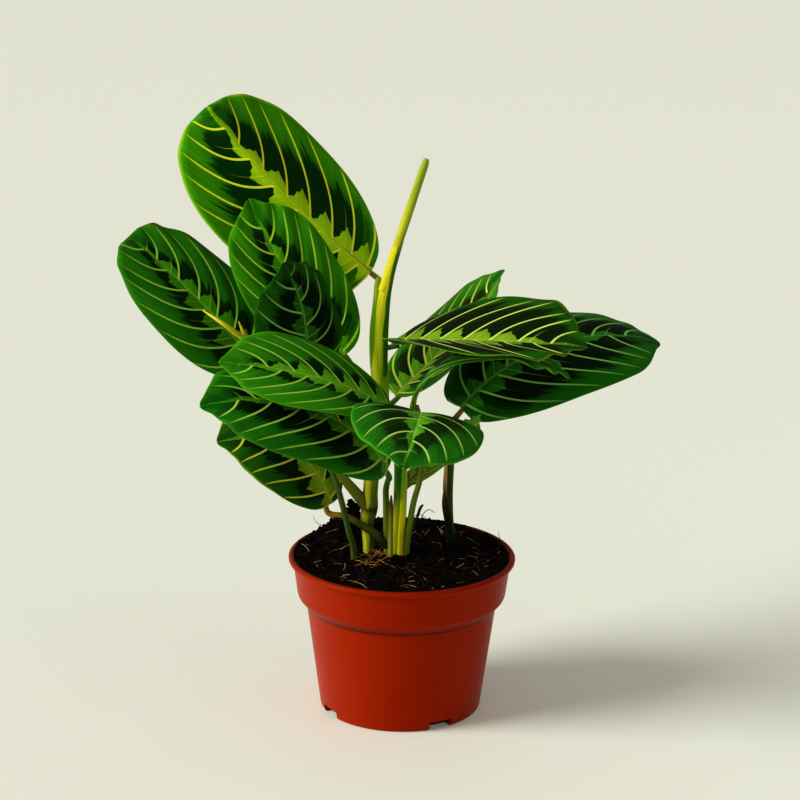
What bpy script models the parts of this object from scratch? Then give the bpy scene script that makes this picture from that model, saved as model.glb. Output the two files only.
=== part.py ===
"""Potted lemon lime prayer plant: a clump of patterned leaves on fleshy stems, in soil in a plain nursery pot.

Run with: blender --background --python part.py
The plant stands upright on +Z. The origin is the centre of the pot's flat base, and -Y is the side one looks at.
Lengths are written in millimetres and angles in degrees, and become metres where a mesh is made.
"""
import math
from collections import namedtuple

import bmesh
import bpy
import numpy as np
from mathutils import Vector, noise

MM = 0.001
GAP = 0.3                   # clearance between pieces that touch on the real plant

# Pot: a three-quarter-height nursery pot, 120 mm across the lip
POT_HEIGHT = 84.0
LIP_RADIUS = 60.0
LIP_DEPTH = 3.0
BAND_TOP_RADIUS = 57.4
BAND_FOOT_RADIUS = 55.0
BAND_HEIGHT = 21.5
SHOULDER_DROP = 5.5
BODY_TOP_RADIUS = 50.2
BASE_RADIUS = 42.5
WALL = 1.5
FLOOR = 2.0
SIDES = 48                  # facets round the pot and the soil
SLOT_WIDTH = 13.0
SLOT_HEIGHT = 4.5
SLOT_ANGLES = (-60, 30, 120, 210)

# Soil: filled almost to the lip, heaped round the stems and at the back left
SOIL_TOP = 81.0
BACK_RISE = 2.0             # how much higher it lies along the far edge
SOIL_EDGE = BAND_TOP_RADIUS - WALL - GAP - 0.1
HOLE_CLEARANCE = 0.6
STEM_FOOT = 67.0

# Leaf blade: veins leave the midrib at evenly worked stations, odd ones on the right and even ones on the left
VEIN_STATIONS = 15
VEIN_CROWDING = 1.3         # above 1 crowds the veins toward the base
VEIN_SWEEP = 0.86           # how far a vein sweeps toward the tip before it meets the margin
VEIN_DRIFT = 0.6            # how fast a vein drifts toward the tip where it leaves the midrib
VEIN_HOOK = 2.5             # how late and how sharply it turns along the margin
SWEEP_LENGTH = 0.22
OUTLINE_POWER = 2.25        # 2 is an ellipse, more is squarer
SHOULDER_WIDTH = 0.10       # width of the base lobes, as a share of the half width
TIP_TAPER = 0.25            # how far the margins draw in to the tip
TIP_LENGTH = 0.07
APEX = 0.035                # length of the small point at the tip, as a share of the blade
BLADE_THICKNESS = 0.8
QUILTING = 0.9              # how far the blade swells between two veins
MARGIN_WAVE = 1.3
MARGIN_WAVES = 3.5
TIP_BEND = 0.012            # how softly a folded-back tip bends, as a share of the length
ROWS_ACROSS = 8

Leaf = namedtuple("Leaf", "base heading pitch roll length half_width fold curl bend lobe wave tip")


def leaf(base, heading, pitch, roll, length, half_width, fold, curl, bend=1.0, lobe=0.04, wave=1.0, tip=2.0):
    """A blade's pose: heading, pitch and roll run from base to tip, fold is (right, left), curl is per half width.

    Wave is how much of the full margin wave it has, and its tip is folded back past the share tip of its length.
    """
    return Leaf(base, heading, pitch, roll, length, half_width, fold, curl, bend, lobe, wave, tip)


# Heading 0 is to the right of the view and 90 is away from it; the blade is seen from above, base to tip
LEAVES = {
    "leaf_top": leaf((-18, 25, 230.9), (174, 170), (36.6, 52.9), (61.3, 64.8), 125, 40.8, (-38.4, -11.7), -24.2,
                     lobe=0.02, wave=0.6, tip=0.955),
    "leaf_second": leaf((-31, 2.5, 191.7), (175, 172), (50, 66), (69, 70), 92.5, 26, (9, 8), 15),
    "leaf_left": leaf((-75.5, -8, 188.1), (175, 165), (51, 36.3), (61.5, 27), 98.4, 28.7, (6.5, 13.4), 27.2,
                      wave=0.8, tip=0.955),
    "leaf_shaded": leaf((-50, -17, 191), (163, 176), (95, 61), (63, 40), 54.5, 26, (-4, 0), 42),
    "leaf_front_left": leaf((-6.5, -23.5, 172), (209, 189), (32, 6), (24, 41), 94, 25, (7, 9), 11, wave=0.4),
    "leaf_lower_front": leaf((-7.6, -35.4, 143.1), (197, 200), (56, -9), (36, 36), 109.5, 30.7, (6, 5), 35, wave=0.6),
    "leaf_low_left": leaf((-38, 0.5, 111), (179, 201), (77, -11), (31, 33), 76, 28, (4, -1), 25, wave=0.3),
    "leaf_centre": leaf((8, -30.5, 170), (273, 257), (25, -23), (7, 9), 90.5, 33.5, (10, 3), 20,
                        wave=0.3),
    "leaf_right_upper": leaf((-6.5, -2.5, 200.5), (-33, -15), (12, -0.5), (-1.5, -22), 104.5, 36.3, (21, 15), 6,
                             lobe=0.0),
    "leaf_behind_right": leaf((-4.5, 24, 164), (28, 24.5), (34.5, 53), (-11, 7.5), 86.5, 28, (23, 17), 22.5,
                              wave=0.2),
    "leaf_far_right": leaf((30, 19.5, 159), (25, 24), (44, -20), (-24, -17), 124, 37, (0, 0), 24, wave=0.25),
    "leaf_edge_on": leaf((4.5, -12, 166.5), (-4, -18), (101, -31), (4, 5), 98.5, 16, (4, 8), 18, bend=0.6),
    "leaf_underside": leaf((-0.2, 11, 118.4), (-6, -6), (40, 50), (38, 38), 56, 12, (1, 4), 18),
}

# Strands of each shoot: points (x, y, z, radius) from the soil up. A strand named for a leaf ends under that
# leaf's blade, where its last points are worked out from the blade's own pose.
SHOOTS = {
    "shoot_main": {
        "stem": [(-17.5, 4, STEM_FOOT, 3.4), (-17.5, 4, 88, 3.4), (-18.5, 5, 98, 3.5), (-17.5, 5, 108, 4.6),
                 (-17, 4, 117, 4.0), (-16, 3, 132, 4.2), (-14, 2, 151, 4.6), (-12.5, 1.5, 171, 5.2),
                 (-13.2, 1, 190, 5.0), (-13.4, 1, 199, 4.9), (-13, 1, 208, 4.0), (-12.3, 1, 219, 4.1),
                 (-11.5, 1, 226, 3.2)],
        "leaf_top": [(-13.3, 1, 214, 2.2), (-14.2, 3, 223, 2.0), (-14.3, 8.5, 227.5, 1.8), (-14, 15, 228.8, 1.5)],
        "leaf_right_upper": [(-13.5, 1, 194, 2.0), (-12.3, 0.6, 198, 2.0)],
        "leaf_behind_right": [(-14, 2, 146, 2.0), (-13, 6, 152, 2.0), (-11.5, 13, 156.5, 1.7)],
        "leaf_second": [(-15, 2.5, 150, 2.2), (-18.5, 4, 162, 2.0), (-23.5, 5, 175, 1.7)],
        "leaf_shaded": [(-18, 4.5, 108, 3.4), (-26.5, 1, 119.5, 2.8), (-34.5, -3, 131, 2.2), (-43, -8, 147, 1.8),
                        (-48.5, -13, 165, 1.6), (-50, -16, 177, 1.4)],
        "young shoot": [(-15.5, 2, 142, 1.8), (-28, -1, 161, 1.7), (-44, -5, 184, 1.7), (-62, -9, 198, 1.8),
                        (-79.4, -17, 204.3, 1.9), (-91, -28, 215.5, 1.4), (-102.5, -25.5, 222.5, 0.6)],
        "young side shoot": [(-79.4, -17, 204.3, 1.5), (-82.4, -19, 210, 1.2), (-84.5, -20, 215.2, 0.6)],
    },
    "shoot_front": {
        "leaf_lower_front": [(-7.0, 1, STEM_FOOT, 2.1), (-7.9, 1, 87, 1.9), (-8.3, 0, 99, 1.8), (-8.6, -1.5, 112, 1.7),
                             (-8.8, -7, 121.5, 1.6), (-7.8, -20, 131, 1.5)],
        "leaf_front_left": [(-4.8, 1.2, STEM_FOOT + 0.5, 2.1), (-4.0, 1.2, 86, 2.0), (-3.2, 0.3, 103, 1.9),
                            (-2.8, -3, 124, 1.8), (-3.0, -6.5, 137, 1.7), (-3.6, -10.5, 150, 1.6),
                            (-3.4, -15, 162, 1.5)],
        "leaf_centre": [(-0.6, 1, STEM_FOOT + 1, 2.2), (-0.6, 1, 86, 2.2), (-0.2, 0.4, 103, 2.2), (0.4, -2.6, 124, 2.0),
                        (0.4, -5.6, 137, 1.9), (2.2, -11, 149, 1.6), (5.2, -18, 160.5, 1.5)],
        "leaf_edge_on": [(2.1, 0.4, STEM_FOOT + 1.5, 2.0), (2.1, 0.4, 84, 1.9), (3.3, -0.2, 96, 1.7),
                         (5.7, -1.4, 112.5, 1.6), (8.9, -4, 126.5, 1.5), (10.3, -8, 140, 1.5), (7.5, -10.5, 152, 1.4)],
        "leaf_underside": [(-0.2, 0.8, 98, 1.6), (-1.2, 4.5, 104, 1.5), (-2.6, 8, 109.5, 1.4)],
        "leaf_low_left": [(-8, 0.5, 88, 2.2), (-14, -1.5, 95, 2.1), (-22, -1.5, 100.5, 1.9), (-30, 0, 104.5, 1.6)],
    },
    "shoot_left": {
        "leaf_left": [(-25.5, -4.5, STEM_FOOT, 1.6), (-25.5, -4.5, 87, 1.7), (-28, -6, 98, 1.6), (-31.6, -7.5, 114, 1.6),
                      (-36.5, -11.5, 132, 1.5), (-45, -15, 148, 1.4), (-57, -14, 166, 1.4), (-67, -11, 178, 1.4)],
    },
    "shoot_right": {
        "leaf_far_right": [(26, 23, STEM_FOOT, 2.4), (26, 23, 84, 2.4), (25, 22.5, 94.5, 2.5), (24, 22, 104.5, 3.0),
                           (24.3, 22, 114, 2.6), (25, 21.5, 131, 2.3), (24.5, 20, 143, 2.0), (24.6, 18.5, 149, 1.8)],
    },
}

# The new leaf, still rolled, that rises from the fork of the main stem; its top is cut off at a slant
ROLL = [(-7.6, 1, 239.5, 2.5), (-2, 2, 258, 2.3), (4.5, 3, 278.5, 2.1), (8.7, 3.8, 291.5, 2.0), (10, 4, 295.5, 1.4)]

# Withered sheaths, each standing in its own hole in the soil
DRY_SHEATHS = {
    "dry_sheath_front": [(-6.2, -4.3, 74, 0.8), (-6.2, -4.3, 84, 0.9), (-6.2, -4.6, 100, 0.9),
                         (-6.2, -6.2, 112, 0.8), (-6, -8.5, 119, 0.4)],
}

COLOURS = {
    "pot": ((0.42, 0.085, 0.03), 0.38),
    "soil": ((0.03, 0.018, 0.012), 0.95),
    "blade": ((0.06, 0.22, 0.02), 0.45),
    "stem": ((0.28, 0.36, 0.03), 0.5),
    "roll": ((0.50, 0.52, 0.04), 0.45),
    "dry": ((0.30, 0.20, 0.06), 0.8),
}


# Scene and materials

def clear_scene():
    for obj in list(bpy.data.objects):
        bpy.data.objects.remove(obj, do_unlink=True)


def new_collection(name):
    group = bpy.data.collections.new(name)
    bpy.context.scene.collection.children.link(group)
    return group


def plain_material(name):
    colour, roughness = COLOURS[name]
    material = bpy.data.materials.new(name)
    material.use_nodes = True
    shader = material.node_tree.nodes["Principled BSDF"]
    shader.inputs["Base Color"].default_value = (*colour, 1.0)
    shader.inputs["Roughness"].default_value = roughness
    shader.inputs["Metallic"].default_value = 0.0
    return material


def add_object(name, mesh, group, material=None):
    obj = bpy.data.objects.new(name, mesh)
    group.objects.link(obj)
    if material:
        mesh.materials.clear()
        mesh.materials.append(material)
    return obj


def made_plain(obj):
    """The object's evaluated mesh, with its loose caps and seams welded."""
    bpy.context.view_layer.update()
    evaluated = obj.evaluated_get(bpy.context.evaluated_depsgraph_get())
    mesh = bpy.data.meshes.new_from_object(evaluated)
    shape = bmesh.new()
    shape.from_mesh(mesh)
    bmesh.ops.remove_doubles(shape, verts=shape.verts, dist=0.00001)
    bmesh.ops.recalc_face_normals(shape, faces=shape.faces)
    shape.to_mesh(mesh)
    shape.free()
    return mesh


def replace_by(obj, mesh):
    """A plain mesh object takes the place of one that was built from a curve or modifiers."""
    name, group = obj.name, obj.users_collection[0]
    plain = bpy.data.objects.new(name + "_plain", mesh)
    plain.matrix_world = obj.matrix_world
    group.objects.link(plain)
    bpy.data.objects.remove(obj, do_unlink=True)
    plain.name = name
    return plain


def smooth(obj, angle=35):
    obj.data.shade_smooth()
    obj.data.set_sharp_from_angle(angle=math.radians(angle))


# Leaf blades

def midrib(pose, steps=60):
    """Stations, points and directions (along, across to the right, up) of the midrib, in millimetres."""
    station = np.linspace(0, 1, steps + 1)
    pitch = np.radians(pose.pitch[0] + (pose.pitch[1] - pose.pitch[0]) * station ** pose.bend)
    heading = np.radians(pose.heading[0] + (pose.heading[1] - pose.heading[0]) * station)
    roll = np.radians(pose.roll[0] + (pose.roll[1] - pose.roll[0]) * station)[:, None]
    along = np.stack([np.cos(pitch) * np.cos(heading), np.cos(pitch) * np.sin(heading), np.sin(pitch)], -1)
    level_up = np.stack([-np.sin(pitch) * np.cos(heading), -np.sin(pitch) * np.sin(heading), np.cos(pitch)], -1)
    level_across = np.cross(along, level_up)
    across = np.cos(roll) * level_across + np.sin(roll) * level_up
    up = np.cos(roll) * level_up - np.sin(roll) * level_across
    hops = (along[:-1] + along[1:]) / 2 * pose.length / steps
    points = np.array(pose.base, float) + np.vstack([np.zeros(3), np.cumsum(hops, axis=0)])
    return station, points, along, across, up


def flat_blade(u, v, pose):
    """Place along and across the flat blade, for the vein that leaves the midrib at u, at the share v of its way."""
    meets = u + (1 - u) * VEIN_SWEEP * (1 - np.exp(-u / SWEEP_LENGTH))
    outline = (1 - np.abs(2 * meets - 1) ** OUTLINE_POWER) ** (1 / OUTLINE_POWER)
    taper = 1 - TIP_TAPER * np.exp(-((1 - meets) / TIP_LENGTH) ** 2)
    half = pose.half_width * (outline * taper + SHOULDER_WIDTH * np.exp(-meets / 0.05))
    across = half * v
    share = u + (meets - u) * (VEIN_DRIFT * v + (1 - VEIN_DRIFT) * v ** VEIN_HOOK)
    lobe = pose.lobe * np.exp(-(meets / 0.07) ** 2) * (1 - np.exp(-(across / (0.18 * pose.half_width)) ** 2))
    point = APEX * np.clip((u - 0.75) / 0.25, 0, 1) ** 2 * np.exp(-(across / (0.2 * pose.half_width)) ** 2)
    return (share - lobe + point) * pose.length, across


def folded_tip(share, pose):
    """Share along the midrib, and millimetres below it, once the tip is folded back past the pose's own place."""
    past = share - pose.tip
    over = (past + np.sqrt(past ** 2 + TIP_BEND ** 2)) / 2
    return share - 0.85 * over, 0.8 * over * pose.length


def blade_points(pose, row, v, side):
    """Points of the blade in millimetres; row counts vein stations from the base, side is 1 right and -1 left."""
    u = (row / VEIN_STATIONS) ** VEIN_CROWDING
    along_mm, across_mm = flat_blade(u, v, pose)
    station, points, along, across, up = midrib(pose)
    share, drop = folded_tip(along_mm / pose.length, pose)
    inside = np.clip(share, 0, 1)
    read = lambda field: np.stack([np.interp(inside, station, field[:, axis]) for axis in range(3)], -1)
    middle = read(points) + read(along) * ((share - inside) * pose.length)[:, None]
    fold = np.radians(np.where(side > 0, pose.fold[0], pose.fold[1]))
    curl = math.radians(pose.curl)
    width = pose.half_width
    tilt = fold - curl * across_mm / width
    out = width * (np.sin(fold) - np.sin(tilt)) / curl
    lift = width * (np.cos(tilt) - np.cos(fold)) / curl
    swell = QUILTING * (0.5 + 0.5 * side * np.cos(math.pi * row)) * np.sin(math.pi * np.minimum(v * 1.1, 1)) ** 0.7
    wave = pose.wave * MARGIN_WAVE * v ** 3 * np.sin(2 * math.pi * MARGIN_WAVES * u + side)
    relief = (swell + wave) * np.clip(4 * u * (1 - u), 0, 1) ** 0.5
    normal = read(up) * np.cos(tilt)[:, None] - read(across) * (side * np.sin(tilt))[:, None]
    return (middle + read(across) * (side * out)[:, None] + read(up) * (lift - drop)[:, None]
            + normal * relief[:, None])


def make_blade(name, pose, group, material):
    """A quilted, wavy-edged blade: a grid bent to the leaf's formula, split in triangles and thickened."""
    shape = bmesh.new()
    bmesh.ops.create_grid(shape, x_segments=VEIN_STATIONS, y_segments=ROWS_ACROSS, size=1)
    verts = list(shape.verts)
    row = np.array([round((vert.co.x + 1) / 2 * VEIN_STATIONS) for vert in verts], float)
    v = np.array([round(abs(vert.co.y) * ROWS_ACROSS / 2) for vert in verts]) / (ROWS_ACROSS / 2)
    side = np.array([-1.0 if vert.co.y > 0 else 1.0 for vert in verts])
    for vert, point in zip(verts, blade_points(pose, row, v, side)):
        vert.co = Vector(point) * MM
    bmesh.ops.remove_doubles(shape, verts=shape.verts, dist=0.00002)
    bmesh.ops.triangulate(shape, faces=shape.faces, quad_method="SHORT_EDGE")
    mesh = bpy.data.meshes.new(name)
    shape.to_mesh(mesh)
    shape.free()
    blade = add_object(name, mesh, group, material)
    solid = blade.modifiers.new("blade thickness", "SOLIDIFY")
    solid.thickness = BLADE_THICKNESS * MM
    solid.offset = 0
    mesh.shade_smooth()
    return blade


def stalk_end(pose, radius):
    """Last points of a leaf's stalk, which runs in below the blade and ends under its midrib."""
    _, points, along, _, up = midrib(pose)
    below = BLADE_THICKNESS / 2 + GAP + radius
    seat = round(4 / pose.length * (len(points) - 1))
    back = points[0] - along[0] * 5 - up[0] * (below + 0.8)
    under = points[seat] - up[seat] * (below + 0.25)
    return [(*back, radius), (*under, radius)]


# Stems

def smooth_route(route, per_span=3):
    """Points of a smooth curve through the route's own points, with their radii."""
    knots = [np.array(point, float) for point in route]
    padded = [2 * knots[0] - knots[1]] + knots + [2 * knots[-1] - knots[-2]]
    found = []
    for before, start, end, after in zip(padded, padded[1:], padded[2:], padded[3:]):
        for step in range(per_span):
            t = step / per_span
            found.append(0.5 * (2 * start + (end - before) * t + (2 * before - 5 * start + 4 * end - after) * t ** 2
                                + (3 * start - before - 3 * end + after) * t ** 3))
    return found + [knots[-1]]


def make_strand(name, route, group, per_span=2, round_steps=2):
    curve = bpy.data.curves.new(name, "CURVE")
    curve.dimensions = "3D"
    curve.bevel_depth = MM
    curve.bevel_resolution = round_steps
    curve.use_fill_caps = True
    spline = curve.splines.new("POLY")
    points = smooth_route(route, per_span)
    spline.points.add(len(points) - 1)
    for place, (x, y, z, radius) in zip(spline.points, points):
        place.co = (x * MM, y * MM, z * MM, 1)
        place.radius = radius
    strand = bpy.data.objects.new(name, curve)
    group.objects.link(strand)
    return replace_by(strand, made_plain(strand))


def make_shoot(name, strands, group, material):
    """One solid: a stem with the leaf stalks that grow from it."""
    loose = new_collection(name + " strands")
    pieces = []
    for strand_name, route in strands.items():
        route = list(route)
        if strand_name in LEAVES:
            route += stalk_end(LEAVES[strand_name], radius=1.2)
        thick = strand_name == "stem"
        pieces.append(make_strand(f"{name} {strand_name}", route, loose, round_steps=3 if thick else 2))
    body = pieces[0]
    if len(pieces) > 1:
        loose.objects.unlink(body)
        group.objects.link(body)
        union = body.modifiers.new("grown together", "BOOLEAN")
        union.operation = "UNION"
        union.operand_type = "COLLECTION"
        union.collection = loose
        union.solver = "EXACT"
    mesh = made_plain(body)
    for piece in pieces:
        bpy.data.objects.remove(piece, do_unlink=True)
    bpy.data.collections.remove(loose)
    shoot = add_object(name, mesh, group, material)
    smooth(shoot, 60)
    return shoot


def make_roll(group, material):
    """The rolled leaf starts just clear of the main stem's end, on the same line."""
    stem = SHOOTS["shoot_main"]["stem"]
    end, before = np.array(stem[-1][:3], float), np.array(stem[-2][:3], float)
    line = (np.array(ROLL[0][:3]) - end) / np.linalg.norm(np.array(ROLL[0][:3]) - end)
    lift = GAP + stem[-1][3] * math.tan(math.acos(float(np.clip(line @ (end - before)
                                        / np.linalg.norm(end - before), -1, 1)))) + 0.2
    start = end + line * lift
    roll = make_strand("new_leaf_roll", [(*start, 2.6)] + ROLL, group, round_steps=3)
    roll.data.materials.append(material)
    smooth(roll, 60)
    return roll


# Pot and soil

def turned(name, profile, sides, group):
    """A profile of (radius, height) points turned about the upright axis."""
    mesh = bpy.data.meshes.new(name)
    verts = [(radius * MM, 0, height * MM) for radius, height in profile]
    mesh.from_pydata(verts, [(i, i + 1) for i in range(len(verts) - 1)], [])
    obj = bpy.data.objects.new(name, mesh)
    group.objects.link(obj)
    screw = obj.modifiers.new("turned", "SCREW")
    screw.axis = "Z"
    screw.steps = sides
    screw.render_steps = sides
    screw.use_merge_vertices = True
    screw.merge_threshold = 0.00001
    return obj


def pot_profile():
    """Inside from the floor's centre up the wall, over the lip and down the outside to the base's centre."""
    band_foot = POT_HEIGHT - BAND_HEIGHT
    body_top = band_foot - SHOULDER_DROP
    lip_under = POT_HEIGHT - LIP_DEPTH
    return [
        (0, FLOOR), (BASE_RADIUS - WALL, FLOOR), (BODY_TOP_RADIUS - WALL, body_top),
        (BAND_FOOT_RADIUS - WALL, band_foot + 1), (BAND_TOP_RADIUS - WALL, lip_under), (LIP_RADIUS - 3.2, POT_HEIGHT - 0.8),
        (LIP_RADIUS - 2.4, POT_HEIGHT), (LIP_RADIUS - 0.9, POT_HEIGHT - 0.2), (LIP_RADIUS, POT_HEIGHT - 1.2),
        (LIP_RADIUS - 0.2, lip_under + 0.5), (LIP_RADIUS - 1.0, lip_under), (BAND_TOP_RADIUS, lip_under - 0.4),
        (BAND_FOOT_RADIUS, band_foot), (BODY_TOP_RADIUS, body_top), (BASE_RADIUS, 0), (0, 0),
    ]


def make_pot(group, cutters, material):
    pot = turned("pot", pot_profile(), SIDES, group)
    for number, angle in enumerate(SLOT_ANGLES):
        bpy.ops.mesh.primitive_cube_add(size=1)
        cutter = bpy.context.object
        cutter.name = f"slot cutter {number}"
        cutter.data.transform(cutter.matrix_world)
        cutter.scale = (16 * MM, SLOT_WIDTH * MM, 2 * SLOT_HEIGHT * MM)
        turn = math.radians(angle)
        reach = BASE_RADIUS - 1
        cutter.location = (reach * math.cos(turn) * MM, reach * math.sin(turn) * MM, 0)
        cutter.rotation_euler = (0, 0, turn)
        move_to(cutter, cutters)
        cut = pot.modifiers.new(f"drainage slot {number}", "BOOLEAN")
        cut.operation = "DIFFERENCE"
        cut.object = cutter
        cut.solver = "EXACT"
    pot.data.materials.append(material)
    return pot


def move_to(obj, group):
    for old in list(obj.users_collection):
        old.objects.unlink(obj)
    group.objects.link(obj)
    obj.hide_render = True
    obj.display_type = "WIRE"


def soil_height(x, y):
    """Height of the soil's surface: a low heap round the stems, a clod at the back left, and crumbly lumps."""
    radius = math.hypot(x, y)
    heap = 2.6 * math.exp(-(radius / 34) ** 2)
    clod = 7.5 * math.exp(-((x + 31) ** 2 + (y - 36) ** 2) / 11 ** 2)
    back = 3.0 * math.exp(-((x + 36) ** 2 + (y - 22) ** 2) / 18 ** 2) + BACK_RISE * max(0.0, y / SOIL_EDGE) ** 2
    lumps = 1.3 * noise.noise(Vector((x / 9, y / 9, 0.5))) + 0.8 * noise.noise(Vector((x / 4, y / 4, 3.5)))
    edge = min(1.0, max(0.0, (SOIL_EDGE + 1 - radius) / 5))
    return SOIL_TOP + heap + clod * edge + back + lumps * edge


def make_soil(group, cutters, material):
    band_foot = POT_HEIGHT - BAND_HEIGHT
    body_top = band_foot - SHOULDER_DROP
    inner = WALL + GAP
    rings = [(SOIL_EDGE * share, SOIL_TOP) for share in (0.12, 0.25, 0.38, 0.5, 0.61, 0.71, 0.8, 0.88, 0.95, 1.0)]
    profile = [(0, SOIL_TOP)] + rings + [
        (BAND_FOOT_RADIUS - inner, band_foot + 1), (BODY_TOP_RADIUS - inner, body_top),
        (BASE_RADIUS - inner, FLOOR + GAP), (0, FLOOR + GAP)]
    soil = turned("soil", profile, SIDES, group)
    soil = replace_by(soil, made_plain(soil))
    for vert in soil.data.vertices:
        x, y, z = vert.co / MM
        if z > SOIL_TOP - 0.01:
            vert.co.z = soil_height(x, y) * MM
    for name, feet in stem_feet().items():
        cutter = hole_cutter("hole for " + name, feet)
        move_to(cutter, cutters)
        cut = soil.modifiers.new("hole for " + name, "BOOLEAN")
        cut.operation = "DIFFERENCE"
        cut.object = cutter
        cut.solver = "MANIFOLD"
    soil.data.materials.clear()
    soil.data.materials.append(material)
    return soil


def stem_feet():
    """For each shoot and sheath, the points of its strands that lie in the soil or just above it."""
    routes = {name: list(strands.values()) for name, strands in SHOOTS.items()}
    routes.update({name: [route] for name, route in DRY_SHEATHS.items()})
    return {name: [point for route in found if route[0][2] < SOIL_TOP for point in route[:2]]
            for name, found in routes.items()}


def hole_cutter(name, feet):
    """An upright cutter round the feet of all the strands of one shoot."""
    shape = bmesh.new()
    floor = min(z for _, _, z, _ in feet) - 1
    for x, y, _, radius in feet:
        for corner in range(10):
            turn = 2 * math.pi * (corner + 0.3) / 10
            reach = radius + HOLE_CLEARANCE
            for height in (floor, 100):
                shape.verts.new(Vector((x + reach * math.cos(turn), y + reach * math.sin(turn), height)) * MM)
    hull = bmesh.ops.convex_hull(shape, input=shape.verts)
    bmesh.ops.delete(shape, geom=hull["geom_interior"], context="VERTS")
    bmesh.ops.dissolve_limit(shape, angle_limit=0.01, verts=shape.verts, edges=shape.edges)
    mesh = bpy.data.meshes.new(name)
    shape.to_mesh(mesh)
    shape.free()
    cutter = bpy.data.objects.new(name, mesh)
    bpy.context.scene.collection.objects.link(cutter)
    return cutter


def build():
    clear_scene()
    plant = new_collection("potted lemon lime prayer plant")
    cutters = new_collection("cutters")
    materials = {name: plain_material(name) for name in COLOURS}
    make_pot(plant, cutters, materials["pot"])
    make_soil(plant, cutters, materials["soil"])
    for name, strands in SHOOTS.items():
        make_shoot(name, strands, plant, materials["stem"])
    make_roll(plant, materials["roll"])
    for name, route in DRY_SHEATHS.items():
        sheath = make_strand(name, route, plant)
        sheath.data.materials.append(materials["dry"])
    for name, pose in LEAVES.items():
        make_blade(name, pose, plant, materials["blade"])


build()
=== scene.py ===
"""Dresses the potted lemon lime prayer plant: marked blades, fleshy stalks, the rolled new leaf, soil and pot.

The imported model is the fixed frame. Each piece here stands where its CAD node stands, with a finer surface.
Lengths are in millimetres and angles in degrees, and become metres where a mesh is made.
"""
import math
from collections import namedtuple
from functools import partialmethod

import bmesh
import bpy
import numpy as np
from mathutils import Matrix, Vector, noise


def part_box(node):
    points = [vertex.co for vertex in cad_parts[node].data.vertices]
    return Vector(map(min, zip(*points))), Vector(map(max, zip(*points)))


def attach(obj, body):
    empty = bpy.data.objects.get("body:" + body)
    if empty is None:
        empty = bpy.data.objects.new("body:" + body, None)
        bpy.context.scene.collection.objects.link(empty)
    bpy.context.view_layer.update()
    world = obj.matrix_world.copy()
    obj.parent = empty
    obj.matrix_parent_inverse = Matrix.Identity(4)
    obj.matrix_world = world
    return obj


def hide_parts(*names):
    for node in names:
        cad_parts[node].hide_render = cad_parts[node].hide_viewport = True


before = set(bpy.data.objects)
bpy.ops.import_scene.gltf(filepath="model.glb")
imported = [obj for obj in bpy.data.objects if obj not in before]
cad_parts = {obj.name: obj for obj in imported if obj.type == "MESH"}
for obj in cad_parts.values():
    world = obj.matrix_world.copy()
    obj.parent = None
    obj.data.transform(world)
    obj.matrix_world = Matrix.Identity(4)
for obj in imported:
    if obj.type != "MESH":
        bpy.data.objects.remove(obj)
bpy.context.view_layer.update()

MM = 0.001
MERGE = 0.01 * MM
GAP = 0.3

# Blades follow the solids' rule on a finer grid, with their rows of veins a little closer together
VEIN_STATIONS = 15.83
VEIN_CROWDING = 1.35
VEIN_SWEEP = 0.86
VEIN_DRIFT = 0.4
VEIN_HOOK = 3.5
SWEEP_LENGTH = 0.22
OUTLINE_POWER = 2.25
SHOULDER_WIDTH = 0.10
SHOULDER_LENGTH = 0.05
LOBE_LENGTH = 0.07
TIP_TAPER = 0.25
TIP_LENGTH = 0.07
APEX = 0.035
QUILTING = 0.9
QUILT_REACH = 1.1
QUILT_POWER = 0.7
MARGIN_WAVE = 1.3
MARGIN_WAVES = 3.5
TIP_BEND = 0.012
TIP_TURNED_BACK = 0.85
TIP_DROP = 0.8
BLADE_THICKNESS = 0.5
SOLID_THICKNESS = 0.8
FLAT_SCALE = 0.01
ROWS_PER_STATION = 9
ROWS_ACROSS = 36
MIDRIB_STEPS = 240
ROW_PROBE = 0.25
OUTWARD_PROBE = 0.03

# A blade's pose. Heading, pitch and roll run from base to tip, fold is (right, left), and curl is per half
# width. Wave is how much of the full margin wave it has, its tip is folded back past the share tip of its
# length, and crowd below 1 sets its veins further apart.
Leaf = namedtuple("Leaf", "base heading pitch roll length half_width fold curl bend lobe wave tip crowd tone",
                  defaults=(1.0, 0.0, 1.0, 2.0, 1.0, "bright"))

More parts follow.
